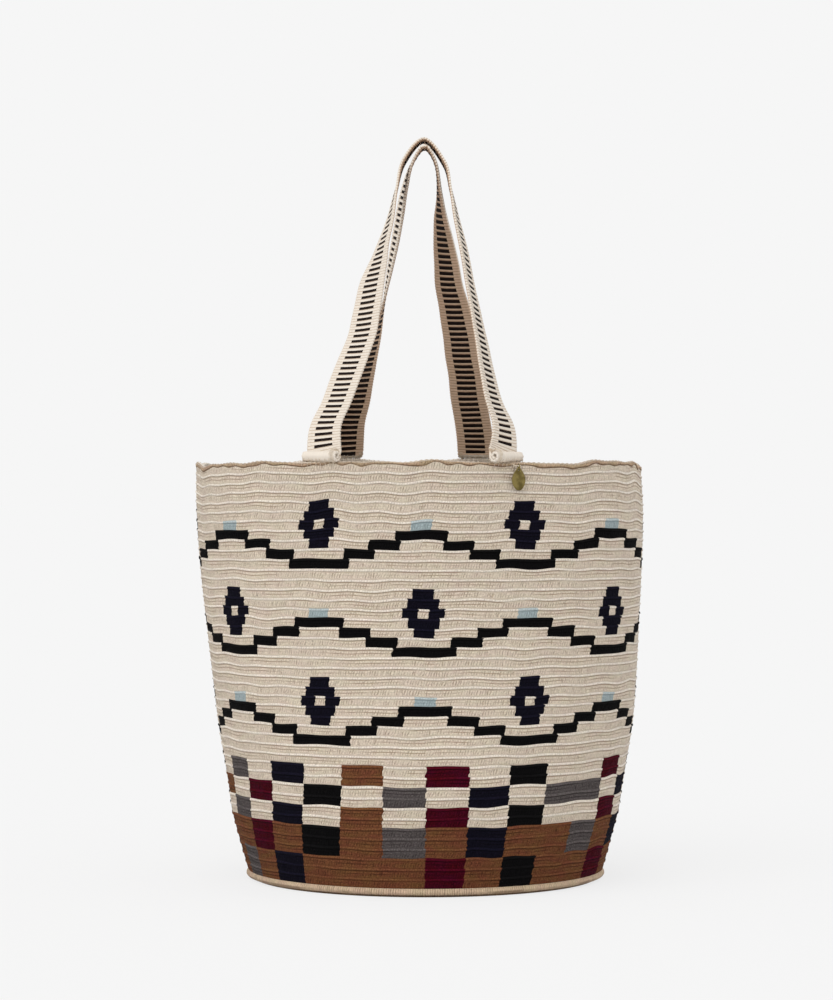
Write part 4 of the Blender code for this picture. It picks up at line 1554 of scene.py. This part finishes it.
@dataclass
class LeafCharm:
    """A stamped brass leaf on a cut jump ring, which a loop of thread holds on the rim."""

    wall: BagWall
    column: float = 2.36
    below_rim: float = 0.0026
    ridge_height: float = 0.0013
    seat_gap: float = 0.0003
    thread_radius: float = 0.00045
    thread_reach: float = 0.0046
    thread_spread: float = 0.0030
    ring_radius: float = 0.0024
    wire_radius: float = 0.0004
    running_gap: float = 0.0003
    leaf_length: float = 0.0205
    leaf_width: float = 0.0122
    leaf_thickness: float = 0.0010
    leaf_tip: float = 0.0026
    hole_radius: float = 0.0009

    def frame(self) -> tuple[np.ndarray, np.ndarray, np.ndarray]:
        """The middle of the holding thread, with the directions along and out of the rim."""
        height = self.wall.rim_height - self.below_rim
        outward = self.wall.outward(self.column, height)
        along = np.cross(np.array((0.0, 0.0, 1.0)), outward)
        return self.wall.points(self.column, height, self.ridge_height), along, outward

    def to_world(self, piece: bpy.types.Object, centre: np.ndarray) -> None:
        """Move a piece's mesh from the charm's own directions to its place in the frame.

        Args:
            piece: The piece, with X along the rim, Y into the bag and Z up in its mesh.
            centre: Where the piece's own zero comes to lie.
        """
        _, along, outward = self.frame()
        turn = Matrix((along, -outward, (0.0, 0.0, 1.0))).transposed().to_4x4()
        piece.data.transform(Matrix.Translation(Vector(centre)) @ turn)
        piece.data.update()

    def ring_drop(self) -> float:
        """How far the ring's centre hangs below the thread that carries it."""
        return self.ring_radius - self.wire_radius - self.thread_radius - self.running_gap

    def thread(self, material: bpy.types.Material) -> bpy.types.Object:
        """Build the loop of thread and the short knot where it leaves the rim.

        Args:
            material: The sewing thread's material.

        Returns:
            The piece.
        """
        surface, along, outward = self.frame()
        angle = np.linspace(-0.25, np.pi + 0.25, 34)
        reach = self.seat_gap + (self.thread_reach - self.seat_gap) * np.sin(angle)
        loop = (
            surface
            + along * (self.thread_spread * np.cos(angle))[:, None]
            + outward * reach[:, None]
        )
        wound = np.linspace(0.0, 3.0 * np.pi, 40)
        knot = (
            surface
            + along * (-self.thread_spread + 0.0007 * np.cos(wound))[:, None]
            + outward * (0.0004 + 0.0006 * np.sin(wound))[:, None]
            + np.array((0.0, 0.0, 1.0)) * (wound * 0.00022 - 0.0010)[:, None]
        )
        patches = tubes([loop, knot], self.thread_radius, 10)
        piece = patch_object("charm_thread_loop", patches, [material], caps=1)
        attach(piece, "bag")
        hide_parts("charm_thread")
        return piece

    def ring(self, material: bpy.types.Material) -> bpy.types.Object:
        """Build the jump ring from a torus, with the thin cut where it was closed.

        Args:
            material: The brass.

        Returns:
            The piece.
        """
        surface, _, outward = self.frame()
        bpy.ops.object.select_all(action="DESELECT")
        bpy.ops.mesh.primitive_torus_add(
            major_radius=self.ring_radius,
            minor_radius=self.wire_radius,
            major_segments=72,
            minor_segments=14,
            rotation=(0.0, math.radians(90.0), 0.0),
        )
        piece = bpy.context.object
        piece.name = "charm_jump_ring"
        bpy.ops.object.transform_apply(location=True, rotation=True, scale=True)
        bpy.ops.object.mode_set(mode="EDIT")
        bpy.ops.mesh.select_mode(type="FACE")
        bpy.ops.mesh.select_all(action="DESELECT")
        bpy.ops.object.mode_set(mode="OBJECT")
        # One of the ring's segments is taken out for the cut, on its outer side
        for face in piece.data.polygons:
            beside = math.degrees(math.atan2(face.center.z, -face.center.y))
            face.select = -25.0 < beside < -20.0
        bpy.ops.object.mode_set(mode="EDIT")
        bpy.ops.mesh.delete(type="FACE")
        bpy.ops.mesh.select_mode(type="EDGE")
        bpy.ops.mesh.select_all(action="DESELECT")
        bpy.ops.mesh.select_non_manifold()
        bpy.ops.mesh.fill_holes(sides=0)
        bpy.ops.object.mode_set(mode="OBJECT")
        piece.data.shade_smooth()
        piece.data.set_sharp_from_angle(angle=math.radians(50.0))
        piece.data.materials.append(material)
        drop = np.array((0.0, 0.0, self.ring_drop()))
        self.to_world(piece, surface + outward * self.thread_reach - drop)
        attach(piece, "ring")
        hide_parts("charm_ring")
        return piece

    def leaf(self, material: bpy.types.Material) -> bpy.types.Object:
        """Build the leaf from a grid: pointed at both ends, with a midrib and slanting veins.

        Args:
            material: The brass.

        Returns:
            The piece.
        """
        surface, _, outward = self.frame()
        bpy.ops.object.select_all(action="DESELECT")
        bpy.ops.mesh.primitive_grid_add(x_subdivisions=28, y_subdivisions=48, size=2.0)
        piece = bpy.context.object
        piece.name = "charm_stamped_leaf"
        for vertex in piece.data.vertices:
            across, share = vertex.co.x, (vertex.co.y + 1.0) / 2.0
            swell = math.sin(math.pi * max(1e-4, share) ** 0.85)
            half = self.leaf_width / 2 * swell ** (0.60 + 0.30 * share)
            half = max(half, 0.00012)
            place = half * across
            height = self.leaf_tip - self.leaf_length * (1.0 - share)
            near_rib = math.exp(-((place / 0.0006) ** 2))
            veins = abs((share * 5.2 - abs(place) * 150.0) % 1.0 - 0.5) * 2.0
            vein = max(0.0, 1.0 - veins * 4.0) * (1.0 - near_rib) * (1.0 - across**2)
            away = min(1.0, abs(height) / 0.003)
            dish = 0.00045 * across**2
            lift = (0.00030 * near_rib + 0.00014 * vein) * away
            vertex.co = (place, dish - lift - self.leaf_thickness / 2, height)
        bpy.ops.object.mode_set(mode="EDIT")
        bpy.ops.mesh.select_all(action="SELECT")
        bpy.ops.mesh.remove_doubles(threshold=1e-6)
        bpy.ops.mesh.normals_make_consistent(inside=False)
        bpy.ops.object.mode_set(mode="OBJECT")
        thick = piece.modifiers.new("plate", "SOLIDIFY")
        thick.thickness = self.leaf_thickness
        thick.offset = 1.0 if piece.data.polygons[0].normal.y > 0 else -1.0
        bpy.ops.object.modifier_apply(modifier=thick.name)
        bpy.ops.mesh.primitive_cylinder_add(
            vertices=32,
            radius=self.hole_radius,
            depth=self.leaf_thickness * 5,
            rotation=(math.radians(90.0), 0.0, 0.0),
        )
        drill = bpy.context.object
        bpy.context.view_layer.objects.active = piece
        hole = piece.modifiers.new("ring_hole", "BOOLEAN")
        hole.operation = "DIFFERENCE"
        hole.solver = "EXACT"
        hole.object = drill
        bpy.ops.object.modifier_apply(modifier=hole.name)
        bpy.data.objects.remove(drill, do_unlink=True)
        softened = piece.modifiers.new("worn_edges", "BEVEL")
        softened.width = 0.00012
        softened.segments = 2
        softened.limit_method = "ANGLE"
        softened.angle_limit = math.radians(50.0)
        bpy.ops.object.modifier_apply(modifier=softened.name)
        piece.data.shade_smooth()
        piece.data.set_sharp_from_angle(angle=math.radians(50.0))
        piece.data.materials.append(material)
        drop = np.array((0.0, 0.0, self.ring_drop() + self.ring_radius))
        self.to_world(piece, surface + outward * self.thread_reach - drop)
        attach(piece, "leaf")
        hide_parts("charm_leaf")
        return piece

    def build(self, cotton: bpy.types.Material, brass: bpy.types.Material) -> list[bpy.types.Object]:
        """Build the charm.

        Args:
            cotton: The sewing thread's material.
            brass: The ring's and the leaf's material.

        Returns:
            The thread loop, the ring and the leaf.
        """
        return [self.thread(cotton), self.ring(brass), self.leaf(brass)]


@dataclass
class Studio:
    """A plain pale floor and backdrop, plain soft light and the camera."""

    backdrop_colour: str = "#F6F6F6"
    eye_height: float = 0.338
    eye_across: float = -0.0018
    distance: float = 2.8
    lens: float = 112.0
    world_strength: float = 0.80
    sun_strength: float = 1.00
    sun_angle: float = 60.0
    floor_colour: str = "#E7E7E7"
    floor_share: float = 0.20
    floor_level: float = 0.9216

    def build_camera(self) -> None:
        """Place the camera level in front of the bag, as the photograph shows it."""
        data = bpy.data.cameras.new("eye")
        data.lens = self.lens
        data.sensor_fit = "VERTICAL"
        data.sensor_height = 36.0
        camera = bpy.data.objects.new("eye", data)
        camera.location = (self.eye_across, -self.distance, self.eye_height)
        camera.rotation_euler = (math.radians(90.0), 0.0, 0.0)
        bpy.context.collection.objects.link(camera)
        bpy.context.scene.camera = camera

    def build_world(self) -> None:
        """Light the scene evenly, with the backdrop's own colour behind it."""
        world = bpy.data.worlds.new("pale_studio")
        bpy.context.scene.world = world
        world.use_nodes = True
        tree = world.node_tree
        tree.nodes.clear()
        seen = self.seen(tree)
        light = add_node(tree, "Background", {0: (1.0, 1.0, 1.0, 1.0), 1: self.world_strength})
        shown = add_node(tree, "Background", {0: linear(self.backdrop_colour), 1: 1.0})
        mixed = add_node(tree, "MixShader", {0: seen, 1: light, 2: shown})
        add_node(tree, "OutputWorld", {0: mixed})

    @staticmethod
    def seen(tree: bpy.types.NodeTree) -> bpy.types.NodeSocket:
        """Tell the rays that show the studio, straight or in metal or glass, from those that light.

        Args:
            tree: The node tree that asks.

        Returns:
            1 for a camera, glossy or transmission ray, and 0 for others.
        """
        path = add_node(tree, "LightPath").node
        seen = path.outputs["Is Camera Ray"]
        for kind in ("Is Glossy Ray", "Is Transmission Ray"):
            seen = add_node(tree, "Math", {0: seen, 1: path.outputs[kind]}, operation="MAXIMUM")
        return seen

    def build_floor(self) -> None:
        """Lay a wide pale floor that keeps the bag's shadow."""
        bpy.ops.object.select_all(action="DESELECT")
        bpy.ops.mesh.primitive_plane_add(size=400.0, location=(0.0, 0.0, 0.0))
        floor = bpy.context.object
        floor.name = "studio_floor"
        material, tree, shader = new_material("matte_pale_floor")
        shader.inputs["Roughness"].default_value = 0.95
        shader.inputs["Specular IOR Level"].default_value = 0.0
        path = self.seen(tree)
        bright = linear(self.floor_colour)
        dim = (*(part * self.floor_share for part in bright[:3]), 1.0)
        colour = add_node(tree, "Mix", {0: path, 6: bright, 7: dim}, output=2, data_type="RGBA")
        tree.links.new(colour, shader.inputs["Base Color"])
        level = self.floor_level - dim[0] * 1.03
        glow = add_node(tree, "Math", {0: path, 1: level}, operation="MULTIPLY")
        shader.inputs["Emission Color"].default_value = (1.0, 1.0, 1.0, 1.0)
        tree.links.new(glow, shader.inputs["Emission Strength"])
        floor.data.materials.append(material)

    def build_sun(self) -> None:
        """Add one broad soft light from above, in front and to the left."""
        data = bpy.data.lights.new("broad_key", "SUN")
        data.energy = self.sun_strength
        data.angle = math.radians(self.sun_angle)
        lamp = bpy.data.objects.new("broad_key", data)
        aim = Vector((0.42, 0.62, -0.78))
        lamp.rotation_euler = aim.to_track_quat("-Z", "Y").to_euler()
        lamp.location = (-1.0, -1.5, 2.0)
        bpy.context.collection.objects.link(lamp)

    def build(self) -> None:
        """Set up the camera, the world, the floor and the light."""
        bpy.context.scene.view_settings.view_transform = "Standard"
        self.build_camera()
        self.build_world()
        self.build_floor()
        self.build_sun()


def main() -> None:
    """Load the frame and build every sub-assembly in order."""
    logging.basicConfig(level=logging.INFO, format="%(name)s: %(message)s")
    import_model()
    Studio().build()
    wall = BagWall()
    CrochetedBody(wall).build()
    outer = WovenCotton("cream_band_cotton", "#ECE2D5", "#BFA88F").material()
    ladder = WovenCotton("dark_band_cotton", "#231A18", "#0D0908", 0.06).material()
    # The inner face's cotton is painted darker and warmer than the outer: painted shade on the faces that
    # turn inwards
    inner = WovenCotton("inner_face_painted_shade_cotton", "#DCC0A6", "#A07C60").material()
    sewing = TwistedThread("cream_sewing_cotton", "#E6D9C6", "#B09A80").material()
    for layout in (FRONT_STRAP, BACK_STRAP):
        strap = WovenStrap(wall, layout)
        strap.build([outer, ladder, inner])
        EndSewing(wall, strap).build(sewing)
    LeafCharm(wall).build(sewing, AgedBrass().material())


if __name__ == "__main__":
    main()
